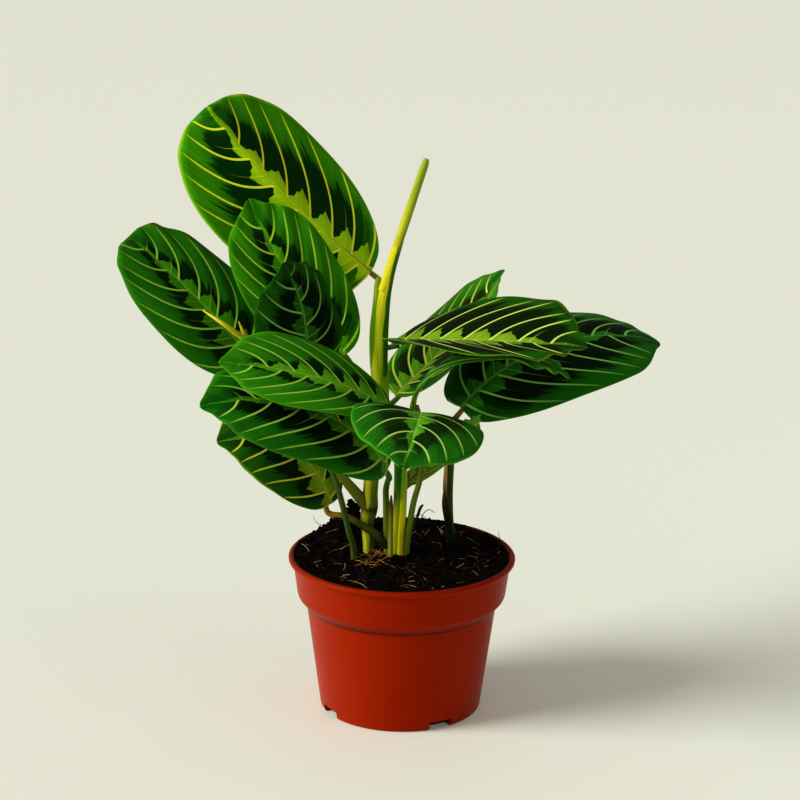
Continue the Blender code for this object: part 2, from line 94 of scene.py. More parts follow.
LEAVES = {
    "leaf_top": Leaf((-18, 25, 230.9), (174, 170), (36.6, 52.9), (61.3, 64.8), 125, 40.8, (-38.4, -11.7),
        -24.2, lobe=-0.005, wave=0.6, tip=0.955, tone="sunlit"),
    "leaf_second": Leaf((-31, 2.5, 191.7), (175, 172), (50, 66), (69, 70), 92.5, 26, (9, 8), 15,
        tone="fresh"),
    "leaf_left": Leaf((-75.5, -8, 188.1), (175, 165), (51, 36.3), (61.5, 27), 98.4, 28.7, (6.5, 13.4), 27.2,
        wave=0.8, tip=0.955),
    "leaf_shaded": Leaf((-50, -17, 191), (163, 176), (95, 61), (63, 40), 54.5, 26, (-4, 0), 42, crowd=0.62,
        tone="shaded"),
    "leaf_front_left": Leaf((-6.5, -23.5, 172), (209, 189), (32, 6), (24, 41), 94, 25, (7, 9), 11, wave=0.4,
        tone="mild"),
    "leaf_lower_front": Leaf((-7.6, -35.4, 143.1), (197, 200), (56, -9), (36, 36), 109.5, 30.7, (6, 5), 35,
        wave=0.6, tone="deep"),
    "leaf_low_left": Leaf((-38, 0.5, 111), (179, 201), (77, -11), (31, 33), 76, 28, (4, -1), 25, wave=0.3,
        crowd=0.72, tone="low"),
    "leaf_centre": Leaf((8, -30.5, 170), (273, 257), (25, -23), (7, 9), 90.5, 33.5, (10, 3), 20, wave=0.3,
        crowd=0.76, tone="folded"),
    "leaf_right_upper": Leaf((-6.5, -2.5, 200.5), (-33, -15), (12, -0.5), (-1.5, -22), 104.5, 36.3, (21, 15),
        6, lobe=-0.035, tone="olive"),
    "leaf_behind_right": Leaf((-4.5, 24, 164), (28, 24.5), (34.5, 53), (-11, 7.5), 86.5, 28, (23, 17), 22.5,
        wave=0.2, tone="hidden"),
    "leaf_far_right": Leaf((30, 19.5, 159), (25, 24), (44, -20), (-24, -17), 124, 37, (0, 0), 24, lobe=0.015,
        wave=0.25, tone="back"),
    "leaf_edge_on": Leaf((4.5, -12, 166.5), (-4, -18), (101, -31), (4, 5), 98.5, 16, (4, 8), 18, bend=0.6,
        tone="arched"),
    "leaf_underside": Leaf((-0.2, 11, 118.4), (-6, -6), (40, 50), (38, 38), 56, 12, (1, 4), 18, tone="pale"),
}

# Strands of each shoot, as points (x, y, z, radius) from the soil up
STEM_FOOT = 67
SHOOTS = {
    "shoot_main": {
        "stem": [(-17.5, 4, STEM_FOOT, 3.4), (-17.5, 4, 88, 3.4), (-18.5, 5, 98, 3.5), (-17.5, 5, 108, 4.6),
            (-17, 4, 117, 4.0), (-16, 3, 132, 4.2), (-14, 2, 151, 4.6), (-12.5, 1.5, 171, 4.9),
            (-13.2, 1.4, 190, 4.4), (-13.4, 1.4, 199, 3.9), (-13, 1.2, 208, 3.3), (-12.3, 1, 219, 2.6),
            (-11.5, 1, 224, 2.0)],
        "roll_sheath": [(-11.8, 0.6, 168, 2.6), (-12.0, 0.4, 182, 3.4), (-12.2, 0.4, 198, 3.7),
            (-11.7, 0.5, 212, 3.6), (-10.5, 0.7, 225, 3.25), (-8.6, 0.9, 235, 2.95), (-6.8, 1.1, 242, 2.7),
            (-4.4, 1.5, 250, 2.45), (-2.0, 2.0, 258, 2.15)],
        "leaf_top": [(-14.6, 1.0, 176, 2.0), (-15.6, 0.8, 192, 2.5), (-15.7, 1.0, 206, 2.4),
            (-15.0, 1.8, 216, 2.1), (-14.5, 3.6, 223, 1.9), (-14.3, 8.5, 227.5, 1.8), (-14, 15, 228.8, 1.6)],
        "leaf_right_upper": [(-13.5, 1, 194, 2.0), (-12.3, 0.6, 198, 2.0)],
        "leaf_behind_right": [(-14, 2, 146, 2.0), (-13, 6, 152, 2.0), (-11.5, 13, 156.5, 1.7)],
        "leaf_second": [(-15, 2.5, 150, 2.2), (-18.5, 4, 162, 2.0), (-23.5, 5, 175, 1.7)],
        "leaf_shaded": [(-18, 4.5, 108, 3.4), (-26.5, 1, 119.5, 2.8), (-34.5, -3, 131, 2.2),
            (-43, -8, 147, 1.8), (-48.5, -13, 165, 1.6), (-50, -16, 177, 1.4)],
        "young_shoot": [(-15.5, 2, 142, 1.8), (-28, -1, 161, 1.7), (-44, -5, 184, 1.7), (-62, -9, 198, 1.6),
            (-79.4, -17, 204.3, 1.5), (-91, -28, 215.5, 1.1), (-102.5, -25.5, 222.5, 0.35)],
        "young_side_shoot": [(-79.4, -17, 204.3, 1.2), (-82.4, -19, 210, 0.9), (-84.5, -20, 215.2, 0.35)],
    },
    "shoot_front": {
        "leaf_lower_front": [(-7.0, 1, STEM_FOOT, 2.1), (-7.9, 1, 87, 1.9), (-8.3, 0, 99, 1.8),
            (-8.6, -1.5, 112, 1.7), (-8.8, -7, 121.5, 1.6), (-7.8, -20, 131, 1.5)],
        "leaf_front_left": [(-4.8, 1.2, STEM_FOOT + 0.5, 2.1), (-4.0, 1.2, 86, 2.0), (-3.2, 0.3, 103, 1.9),
            (-2.8, -3, 124, 1.8), (-3.0, -6.5, 137, 1.7), (-3.6, -10.5, 150, 1.6), (-3.4, -15, 162, 1.5)],
        "leaf_centre": [(-0.6, 1, STEM_FOOT + 1, 2.2), (-0.6, 1, 86, 2.2), (-0.2, 0.4, 103, 2.2),
            (0.4, -2.6, 124, 2.0), (0.4, -5.6, 137, 1.9), (2.2, -11, 149, 1.6), (5.2, -18, 160.5, 1.5)],
        "leaf_edge_on": [(2.1, 0.4, STEM_FOOT + 1.5, 2.0), (2.1, 0.4, 84, 1.9), (3.3, -0.2, 96, 1.7),
            (5.7, -1.4, 112.5, 1.6), (8.9, -4, 126.5, 1.5), (10.3, -8, 140, 1.5), (7.5, -10.5, 152, 1.4)],
        "leaf_underside": [(-0.2, 0.8, 98, 1.6), (-1.2, 4.5, 104, 1.5), (-2.6, 8, 109.5, 1.4)],
        "leaf_low_left": [(-8, 0.5, 88, 2.2), (-14, -1.5, 95, 2.1), (-22, -1.5, 100.5, 1.9),
            (-30, 0, 104.5, 1.6)],
    },
    "shoot_left": {
        "leaf_left": [(-25.5, -4.5, STEM_FOOT, 1.6), (-25.5, -4.5, 87, 1.7), (-28, -6, 98, 1.6),
            (-31.6, -7.5, 114, 1.6), (-36.5, -11.5, 132, 1.5), (-45, -15, 148, 1.4), (-57, -14, 166, 1.4),
            (-67, -11, 178, 1.4)],
    },
    "shoot_right": {
        "leaf_far_right": [(26, 23, STEM_FOOT, 2.4), (26, 23, 84, 2.4), (25, 22.5, 94.5, 2.5),
            (24, 22, 104.5, 3.0), (24.3, 22, 114, 2.6), (25, 21.5, 131, 2.3), (24.5, 20, 143, 2.0),
            (24.6, 18.5, 149, 1.8)],
        "torn_sheath": [(25.4, 19.8, 97, 0.5), (24.2, 19.2, 105, 1.0), (22.6, 19.6, 113, 1.15),
            (22.7, 19.6, 124, 1.0), (23.2, 19.4, 133, 0.6)],
    },
}
STRAND_SIDES = 20

ROLL = [(-7.6, 1, 239.5, 2.5), (-2, 2, 258, 2.3), (4.5, 3, 278.5, 2.1), (8.7, 3.8, 291.5, 2.0),
        (10, 4, 295.5, 1.4)]
DRY_SHEATH = [(-6.2, -4.3, 74, 1.3), (-6.2, -4.3, 84, 1.35), (-6.2, -4.6, 100, 1.25), (-6.1, -6.0, 112, 1.1),
              (-6, -8.5, 119, 0.4)]

# Pot and soil
POT_HEIGHT = 84.0
LIP_RADIUS = 60.0
LIP_UNDER = POT_HEIGHT - 3.0
BAND_TOP_RADIUS = 57.4
BAND_FOOT_RADIUS = 55.0
BAND_FOOT = POT_HEIGHT - 21.5
BODY_TOP_RADIUS = 50.2
BODY_TOP = BAND_FOOT - 5.5
BASE_RADIUS = 42.5
WALL = 1.5
FLOOR = 2.0
CORNER_RADIUS = 1.6
POT_SIDES = 192
SLOT_DEPTH = 16.0
SLOT_WIDTH = 13.0
SLOT_HEIGHT = 4.5
SLOT_ANGLES = (-60, 30, 120, 210)
SOIL_TOP = 81.0
SOIL_EDGE = BAND_TOP_RADIUS - WALL - GAP - 0.1
SOIL_RINGS = 72
STREWN_ABOVE = (SOIL_TOP - 3) * MM
LEVEL_ENOUGH = 0.3
FULL_TURN = 6.28

# Humps of the soil's surface (x, y, height, width): round the stems, at the back left, and under the clod
HEAP = (0, 0, 2.6, 34)
BACK_HEAP = (-36, 22, 3.0, 18)
CLOD_FOOT = (-31, 36, 7.5, 11)
BACK_RISE = 2.0
BANK_HEIGHT = 1.7
BANK_START = 44
BANK_WIDTH = 9

# Lumps of peat that stand up at the back left, and sticks and roots in the soil (x, y, z, radius)
CLOD_LUMPS = [(-27, 31, 88, 5.5), (-26, 31, 93, 4.2), (-25.5, 31, 97, 3.4), (-27.2, 31, 100.5, 2.6),
              (-23.8, 31, 99.5, 2.2), (-28.8, 31, 97, 2.4), (-27.8, 31, 103, 1.5)]
STRAY_STICKS = [
    [(5.5, 40, 80, 0.6), (7.5, 40.5, 88, 0.7), (9.5, 41, 95, 0.9), (11.2, 41, 97.5, 0.5)],
    [(11, 42, 82, 0.25), (10.5, 42, 90, 0.22), (14, 43, 94, 0.2), (17.5, 44, 92, 0.15)],
    [(8, 38, 82, 0.25), (6, 39, 89, 0.22), (8.5, 40, 92.5, 0.2), (13, 40, 90, 0.15)],
    [(-40, 30, 82, 0.2), (-43, 31, 88, 0.18), (-46, 32, 89.5, 0.15), (-48, 32, 93, 0.1)],
    [(-50, -18, 81, 0.2), (-54, -19, 85, 0.18), (-57, -18, 86, 0.15)],
    [(50, 8, 82, 0.2), (52, 10, 88, 0.18), (51, 11, 93, 0.12)],
]

# Camera, fitted to the photograph's 800 by 800 frame
CAMERA_PLACE = (-0.002, -1.412, 0.5896)
CAMERA_BELOW_LEVEL = 16.6
CAMERA_ROLL = 0.7
CAMERA_LENS = 127.5

# How far the lime band reaches out: share of the way to the next vein, and share of the half width
LOBE_OUTLINE = [(0.0, 0.12), (0.05, 0.19), (0.12, 0.245), (0.20, 0.27), (0.27, 0.30), (0.33, 0.335),
                (0.38, 0.315), (0.45, 0.26), (0.53, 0.235), (0.60, 0.225), (0.66, 0.17), (0.72, 0.12),
                (0.82, 0.10), (0.92, 0.065), (1.0, 0.06)]


# Values in node trees

class Field:
    """A value in a node tree. Plain arithmetic on it adds the Math nodes that work it out."""

    def __init__(self, tree, socket):
        self.tree = tree
        self.socket = socket

    def maths(self, operation, *others):
        node = self.tree.nodes.new("ShaderNodeMath")
        node.operation = operation
        for place, value in zip(node.inputs, (self, *others)):
            feed(value, place)
        return Field(self.tree, node.outputs[0])

    def __rsub__(self, other):
        return self * -1 + other

    __add__ = __radd__ = partialmethod(maths, "ADD")
    __sub__ = partialmethod(maths, "SUBTRACT")
    __mul__ = __rmul__ = partialmethod(maths, "MULTIPLY")
    __truediv__ = partialmethod(maths, "DIVIDE")
    __pow__ = partialmethod(maths, "POWER")
    __abs__ = partialmethod(maths, "ABSOLUTE")


def feed(value, socket):
    """A field is linked to the socket, and a plain value is set on it."""
    if isinstance(value, Field):
        value.tree.links.new(value.socket, socket)
    else:
        socket.default_value = value


def find_socket(sockets, name=None):
    """The first socket in use, or the first one of that name."""
    return next(socket for socket in sockets if socket.enabled and name in (None, socket.name))


def add_node(tree, kind, pick=None, **values):
    """A node with its settings, in small letters, and then its inputs, whose names have _ for a space.

    Returns its first output, or the one named pick.
    """
    node = tree.nodes.new(kind)
    for name, value in values.items():
        if name[0].islower():
            setattr(node, name, value)
        else:
            feed(value, find_socket(node.inputs, name.replace("_", " ")))
    return Field(tree, find_socket(node.outputs, pick))


def sine(field):
    return field.maths("SINE")


def cosine(field):
    return field.maths("COSINE")


def at_least(low, field):
    return field.maths("MAXIMUM", low)


def at_most(high, field):
    return field.maths("MINIMUM", high)


def above(low, field):
    """1 where the field is above low, and 0 elsewhere."""
    return field.maths("GREATER_THAN", low)


def clip(field):
    return at_least(0.0, at_most(1.0, field))


def length_of(x, y):
    return (x * x + y * y).maths("SQRT")


def bell(field):
    """exp(-x squared)."""
    return (field * field * -1).maths("EXPONENT")


def between(share, low, high):
    """low where share is 0 and high where it is 1."""
    return low + (high - low) * share


def ramp(field, low, high):
    """0 below low and 1 above high, or the other way round if low is the larger."""
    return add_node(field.tree, "ShaderNodeMapRange", interpolation_type="SMOOTHSTEP", Value=field,
                    From_Min=low, From_Max=high)


def vector(x, y, z):
    return add_node(x.tree, "ShaderNodeCombineXYZ", X=x, Y=y, Z=z)


def parts_of(field):
    split = add_node(field.tree, "ShaderNodeSeparateXYZ", Vector=field)
    return [Field(field.tree, socket) for socket in split.socket.node.outputs]


def scaled(place, by):
    return add_node(place.tree, "ShaderNodeVectorMath", operation="SCALE", Vector=place, Scale=by)


def moved(place, offset):
    """The sum of two vectors."""
    total = add_node(place.tree, "ShaderNodeVectorMath")
    for value, socket in zip((place, offset), total.socket.node.inputs):
        feed(value, socket)
    return total


def noise_at(place, scale, detail=2.0, roughness=0.5):
    return add_node(place.tree, "ShaderNodeTexNoise", Vector=place, Scale=scale, Detail=detail,
                    Roughness=roughness)


def blended(share, first, second):
    """A colour from first, where share is 0, to second."""
    node = share.tree.nodes.new("ShaderNodeMix")
    node.data_type = "RGBA"
    node.clamp_factor = True
    feed(share, node.inputs[0])
    feed(first, node.inputs[6])
    feed(second, node.inputs[7])
    return Field(share.tree, node.outputs[2])


def layered(colour, *layers):
    """A colour with others laid over it in turn, each given as (share, colour)."""
    for share, over in layers:
        colour = blended(share, colour, over)
    return colour


def new_tree(name, takes, gives=None, kind="GeometryNodeTree"):
    """A node group, with its inputs and outputs listed by type. Returns it and its inputs as fields."""
    tree = bpy.data.node_groups.new(name, kind)
    for in_out, sockets in (("INPUT", takes), ("OUTPUT", gives or {"Geometry": ["Geometry"]})):
        for socket_type, labels in sockets.items():
            for label in labels:
                tree.interface.new_socket(label, in_out=in_out, socket_type="NodeSocket" + socket_type)
    entry = tree.nodes.new("NodeGroupInput")
    return tree, {socket.name: Field(tree, socket) for socket in entry.outputs if socket.name}


def give(tree, **values):
    """The finished group, which gives these values."""
    out = tree.nodes.new("NodeGroupOutput")
    for name, value in values.items():
        feed(value, out.inputs[name])
    return tree


# Objects

def add_object(name, mesh):
    obj = bpy.data.objects.new(name, mesh)
    bpy.context.scene.collection.objects.link(obj)
    return obj


def final_mesh(carrier, *guides):
    """The mesh that the carrier's modifiers make. The carrier and its guides are removed."""
    bpy.context.view_layer.update()
    mesh = bpy.data.meshes.new_from_object(carrier.evaluated_get(bpy.context.evaluated_depsgraph_get()))
    for old in (carrier, *guides):
        bpy.data.objects.remove(old, do_unlink=True)
    return mesh


def grown(name, tree, values, guide=None):
    """The plain mesh that a Geometry Nodes tree makes, with its named inputs set to these values."""
    carrier = add_object(name + "_guide", guide or bpy.data.meshes.new(name + "_guide"))
    modifier = carrier.modifiers.new("grown", "NODES")
    modifier.node_group = tree
    for label, value in values.items():
        modifier[tree.interface.items_tree[label].identifier] = value
    mesh = final_mesh(carrier)
    mesh.name = name
    return mesh


def painted(mesh, *materials):
    """The mesh with these materials and no others."""
    mesh.materials.clear()
    for material in materials:
        mesh.materials.append(material)
    return mesh


def settle(piece, slot, *nodes):
    """The piece rides on the plant's one body and stands for these CAD nodes."""
    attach(piece, "root")
    if nodes:
        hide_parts(*nodes)
    return piece


# Steps that the Geometry Nodes trees share

def stored(geometry, name, value, kind="FLOAT", domain="POINT"):
    return add_node(geometry.tree, "GeometryNodeStoreNamedAttribute", data_type=kind, domain=domain,
                    Geometry=geometry, Name=name, Value=value)


def placed(geometry, position):
    return add_node(geometry.tree, "GeometryNodeSetPosition", Geometry=geometry, Position=position)


def ring_of(tree, sides):
    return add_node(tree, "GeometryNodeCurvePrimitiveCircle", Resolution=sides, Radius=1.0)


def tube_along(line, ring):
    """A closed tube, as thick as the line's own radius says."""
    radius = add_node(line.tree, "GeometryNodeInputRadius")
    return smoothed(add_node(line.tree, "GeometryNodeCurveToMesh", Curve=line, Profile_Curve=ring, Scale=radius,
                             Fill_Caps=True))


def smoothed(geometry):
    return add_node(geometry.tree, "GeometryNodeSetShadeSmooth", Geometry=geometry)


def strewn_over(given, where, piece, rotation, scale):
    """Copies of the piece at random points of the soil's surface, where the field called where is 1."""
    points = add_node(piece.tree, "GeometryNodeDistributePointsOnFaces", Mesh=given["Geometry"],
                      Selection=where, Density=given["Density"], Seed=given["Seed"])
    strewn = add_node(piece.tree, "GeometryNodeInstanceOnPoints", Points=points, Instance=piece,
                      Rotation=rotation, Scale=scale)
    return add_node(piece.tree, "GeometryNodeRealizeInstances", Geometry=strewn)


def random_value(seed, kind, low, high):
    return add_node(seed.tree, "FunctionNodeRandomValue", data_type=kind, Seed=seed, Min=low, Max=high)


def finished(tree, geometry, given):
    """The finished tree, which gives the geometry as plain meshes with its material on."""
    geometry = add_node(tree, "GeometryNodeRealizeInstances", Geometry=geometry)
    geometry = add_node(tree, "GeometryNodeSetMaterial", Geometry=geometry, Material=given["Material"])
    return give(tree, Geometry=geometry)


# Leaf blades

def flat_blade(row, v, given):
    """Share along the blade and millimetres across it, on the flat leaf, at the share v of a vein's way."""
    u = at_least(0.0, row / VEIN_STATIONS) ** VEIN_CROWDING
    meets = u + (1 - u) * VEIN_SWEEP * (1 - (u / -SWEEP_LENGTH).maths("EXPONENT"))
    outline = at_least(0.0, 1 - abs(meets * 2 - 1) ** OUTLINE_POWER) ** (1 / OUTLINE_POWER)
    taper = 1 - TIP_TAPER * bell((1 - meets) / TIP_LENGTH)
    shoulder = SHOULDER_WIDTH * (meets / -SHOULDER_LENGTH).maths("EXPONENT")
    across = given["Half Width"] * (outline * taper + shoulder) * v
    share = u + (meets - u) * (v * VEIN_DRIFT + v ** VEIN_HOOK * (1 - VEIN_DRIFT))
    lobe = given["Lobe"] * bell(meets / LOBE_LENGTH) * (1 - bell(across / (given["Half Width"] * 0.18)))
    point = APEX * clip((u - 0.75) / 0.25) ** 2 * bell(across / (given["Half Width"] * 0.2))
    return share - lobe + point, across, u


BLADE_MEASURES = ["Bend", "Length", "Half Width", "Curl", "Lobe", "Wave", "Tip", "Crowd"]


def leaf_blade_tree():
    """Geometry Nodes for one blade: a flat grid that follows the veins, bent round the midrib's own curve."""
    tree, given = new_tree("leaf blade", {
        "Vector": ["Base"],
        "Float": ["Heading", "Heading End", "Pitch", "Pitch End", "Roll", "Roll End", "Fold Right", "Fold Left",
                  *BLADE_MEASURES],
        "Material": ["Material"]})

    def angles(station):
        shares = {"Pitch": station ** given["Bend"], "Heading": station, "Roll": station}
        return [between(share, given[label], given[label + " End"]).maths("RADIANS")
                for label, share in shares.items()]

    # The midrib: hops of equal length, each in the direction at its own station
    index = add_node(tree, "GeometryNodeInputIndex")
    pitch, heading, _ = angles(at_least(0.0, (index - 0.5) / MIDRIB_STEPS))
    hop = given["Length"] * (MM / MIDRIB_STEPS) * above(0.5, index)
    step = vector(cosine(pitch) * cosine(heading) * hop, cosine(pitch) * sine(heading) * hop, sine(pitch) * hop)
    run = add_node(tree, "GeometryNodeAccumulateField", data_type="FLOAT_VECTOR", Value=step)
    line = add_node(tree, "GeometryNodeMeshLine", Count=MIDRIB_STEPS + 1)
    midrib = add_node(tree, "GeometryNodeMeshToCurve", Mesh=placed(line, moved(run, scaled(given["Base"], MM))))

    # The grid: x counts vein stations from the base, y runs from the left margin to the right one
    grid = add_node(tree, "GeometryNodeMeshGrid", Size_X=1.0, Size_Y=1.0,
                    Vertices_X=round(VEIN_STATIONS * ROWS_PER_STATION) + 1, Vertices_Y=ROWS_ACROSS + 1)
    x, y, _ = parts_of(add_node(tree, "GeometryNodeInputPosition"))
    row = (x + 0.5) * VEIN_STATIONS
    vein_row = row * given["Crowd"]
    signed = y * -2
    v = abs(signed)
    side = signed.maths("SIGN")
    share, across, u = flat_blade(row, v, given)
    length, half = given["Length"], given["Half Width"]

    # How wide the panel between two veins is here, square to the veins
    next_share, next_across, _ = flat_blade(row - ROW_PROBE, v, given)
    out_share, out_across, _ = flat_blade(row, v + OUTWARD_PROBE, given)
    row_along, row_across = (share - next_share) * length, across - next_across
    out_along, out_sideways = (out_share - share) * length, out_across - across
    square = abs(row_along * out_sideways - row_across * out_along)
    panel = square / at_least(0.001, length_of(out_along, out_sideways)) * (2 / ROW_PROBE) / given["Crowd"]

    # Fold, curl and relief
    fold = between(above(0.0, side), given["Fold Left"], given["Fold Right"]).maths("RADIANS")
    curl = given["Curl"].maths("RADIANS")
    tilt = fold - curl * across / half
    outward = half * (sine(fold) - sine(tilt)) / curl
    lift = half * (cosine(tilt) - cosine(fold)) / curl
    quilt = 0.5 + 0.5 * side * cosine(vein_row * math.pi)
    swell = QUILTING * quilt * sine(at_most(1.0, v * QUILT_REACH) * math.pi) ** QUILT_POWER
    wave = given["Wave"] * MARGIN_WAVE * v ** 3 * sine(u * (2 * math.pi * MARGIN_WAVES) + side)
    relief = (swell + wave) * clip(u * (1 - u) * 4) ** 0.5
    sideways = side * (outward - sine(tilt) * relief)
    upward = lift + cosine(tilt) * relief

    # The tip is folded back past its own place on the midrib
    beyond = share - given["Tip"]
    over = (beyond + (beyond * beyond + TIP_BEND ** 2) ** 0.5) * 0.5
    reached = share - over * TIP_TURNED_BACK
    upward = upward - over * TIP_DROP * length
    inside = clip(reached)
    pitch, heading, roll = angles(inside)
    past = (reached - inside) * length
    level = sideways * cosine(roll) - upward * sine(roll)
    raised = sideways * sine(roll) + upward * cosine(roll)
    ahead, back = past * cosine(pitch), raised * sine(pitch)
    offset = vector((ahead * cosine(heading) + level * sine(heading) - back * cosine(heading)) * MM,
                    (ahead * sine(heading) - level * cosine(heading) - back * sine(heading)) * MM,
                    (past * sine(pitch) + raised * cosine(pitch)) * MM)
    sampled = add_node(tree, "GeometryNodeSampleCurve", "Position", mode="FACTOR", Curves=midrib, Factor=inside)

    blade = stored(grid, "leaf_place", vector(row, signed, panel), "FLOAT_VECTOR")
    flat = vector(share * length * FLAT_SCALE, side * across * FLAT_SCALE, 0.0)
    blade = placed(stored(blade, "flat", flat, "FLOAT2", "CORNER"), moved(sampled, offset))
    blade = add_node(tree, "GeometryNodeMergeByDistance", Geometry=blade, Distance=MERGE)
    return finished(tree, smoothed(blade), given)


def make_leaf(name, pose, tree, upper, under):
    values = {label: float(getattr(pose, label.lower().replace(" ", "_"))) for label in BLADE_MEASURES}
    values.update({"Base": pose.base, "Fold Right": pose.fold[0], "Fold Left": pose.fold[1], "Material": upper})
    for label in ("Heading", "Pitch", "Roll"):
        values[label], values[label + " End"] = getattr(pose, label.lower())
    blade = add_object(name + "_blade", painted(grown(name + "_blade", tree, values), upper, under))
    solid = blade.modifiers.new("blade thickness", "SOLIDIFY")
    solid.thickness = BLADE_THICKNESS * MM
    solid.offset = 0
    solid.material_offset = 1
    return settle(blade, "blade", name)


# Stalks, the rolled leaf and the dry sheath

def midrib_of(pose, steps=60):
    """Points of a blade's midrib, with the direction in which it runs and the blade's own way up."""
    station = np.linspace(0, 1, steps + 1)
    pitch, heading, roll = [
        np.radians(first + (last - first) * share) for (first, last), share in
        ((pose.pitch, station ** pose.bend), (pose.heading, station), (pose.roll, station[:, None]))]
    along = np.stack([np.cos(pitch) * np.cos(heading), np.cos(pitch) * np.sin(heading), np.sin(pitch)], -1)
    level_up = np.stack([-np.sin(pitch) * np.cos(heading), -np.sin(pitch) * np.sin(heading), np.cos(pitch)], -1)
    up = np.cos(roll) * level_up - np.sin(roll) * np.cross(along, level_up)
    hops = (along[:-1] + along[1:]) / 2 * pose.length / steps
    points = np.array(pose.base, float) + np.vstack([np.zeros(3), np.cumsum(hops, axis=0)])
    return points, along, up


def stalk_end(pose, radius=1.2):
    """Last points of a leaf's stalk, which swells, runs in below the blade and ends under its midrib."""
    points, along, up = midrib_of(pose)
    seat = round(4 / pose.length * (len(points) - 1))
    below = SOLID_THICKNESS / 2 + GAP + radius
    back = points[0] - along[0] * 5 - up[0] * (below + 0.8)
    under = points[seat] - up[seat] * (below + 0.25)
    return [(*back, radius * 1.3), (*under, radius)]


def keel_route(pose):
    """The raised midrib on the blade's underside, which thins toward the tip."""
    points, _, up = midrib_of(pose)
    route = []
    for share in np.linspace(0.0, 0.88, 12):
        radius = 1.0 - 0.85 * share
        place = round(share * (len(points) - 1))
        route.append((*(points[place] - up[place] * (BLADE_THICKNESS / 2 + radius * 0.5)), radius))
    return route


def smooth_route(route, per_span=6):
    """Points of a smooth curve through the route's own points, with their radii."""
    knots = [np.array(point, float) for point in route]
    padded = [2 * knots[0] - knots[1]] + knots + [2 * knots[-1] - knots[-2]]
    found = []
    for before, start, end, after in zip(padded, padded[1:], padded[2:], padded[3:]):
        square = 2 * before - 5 * start + 4 * end - after
        cube = 3 * start - before - 3 * end + after
        for t in np.arange(per_span) / per_span:
            found.append(0.5 * (2 * start + (end - before) * t + square * t ** 2 + cube * t ** 3))
    return found + [knots[-1]]


def guide_curve(name, route):
    curve = bpy.data.curves.new(name, "CURVE")
    curve.dimensions = "3D"
    spline = curve.splines.new("POLY")
    points = smooth_route(route)
    spline.points.add(len(points) - 1)
    for place, (x, y, z, radius) in zip(spline.points, points):
        place.co = (x * MM, y * MM, z * MM, 1)
        place.radius = radius * MM
    return curve


def strand_tree():
    """Geometry Nodes for a stalk: a closed tube along a curve. Its section may step in like a rolled leaf's."""
    tree, given = new_tree("strand", {
        "Geometry": ["Geometry"], "Int": ["Sides"], "Float": ["Roll Step", "Ribs", "Rib Depth", "Twist"],
        "Material": ["Material"]})
    factor = add_node(tree, "GeometryNodeSplineParameter", "Factor")
    line = stored(given["Geometry"], "along", factor)
    line = stored(line, "reach", add_node(tree, "GeometryNodeSplineParameter", "Length"))
    line = add_node(tree, "GeometryNodeSetCurveTilt", Curve=line, Tilt=factor * given["Twist"])
    ribs = given["Rib Depth"] * cosine(factor * 2 * math.pi * given["Ribs"])
    swell = 1 + given["Roll Step"] * (factor - 0.5) + ribs
    position = add_node(tree, "GeometryNodeInputPosition")
    ring = placed(stored(ring_of(tree, given["Sides"]), "around", factor), scaled(position, swell))
    return finished(tree, tube_along(line, ring), given)


def make_strand(name, route, tree, material, sides=STRAND_SIDES, roll_step=0.0, ribs=0.0, rib_depth=0.0,
                twist=0.0):
    values = {"Sides": sides, "Roll Step": roll_step, "Ribs": ribs, "Rib Depth": rib_depth, "Twist": twist,
              "Material": material}
    return add_object(name, grown(name, tree, values, guide_curve(name, route)))


# Pot

def turned(name, profile, sides):
    """A profile of (radius, height) points turned about the upright axis."""
    mesh = bpy.data.meshes.new(name)
    mesh.from_pydata([(radius * MM, 0, height * MM) for radius, height in profile],
                     [(i, i + 1) for i in range(len(profile) - 1)], [])
    obj = add_object(name, mesh)
    screw = obj.modifiers.new("turned", "SCREW")
    screw.axis = "Z"
    screw.steps = sides
    screw.render_steps = sides
    screw.use_merge_vertices = True
    screw.merge_threshold = MERGE
    return obj


def rounded(profile, radius, steps=4):
    """The profile with each corner between its first and last point turned into a small arc."""
    points = [np.array(point, float) for point in profile]
    found = [points[0]]
    for before, corner, after in zip(points, points[1:], points[2:]):
        back, ahead = before - corner, after - corner
        back_length, ahead_length = np.linalg.norm(back), np.linalg.norm(ahead)
        reach = min(radius, back_length * 0.45, ahead_length * 0.45)
        start = corner + back / back_length * reach
        end = corner + ahead / ahead_length * reach
        for t in np.arange(steps + 1) / steps:
            found.append((1 - t) ** 2 * start + 2 * t * (1 - t) * corner + t * t * end)
    return found + [points[-1]]


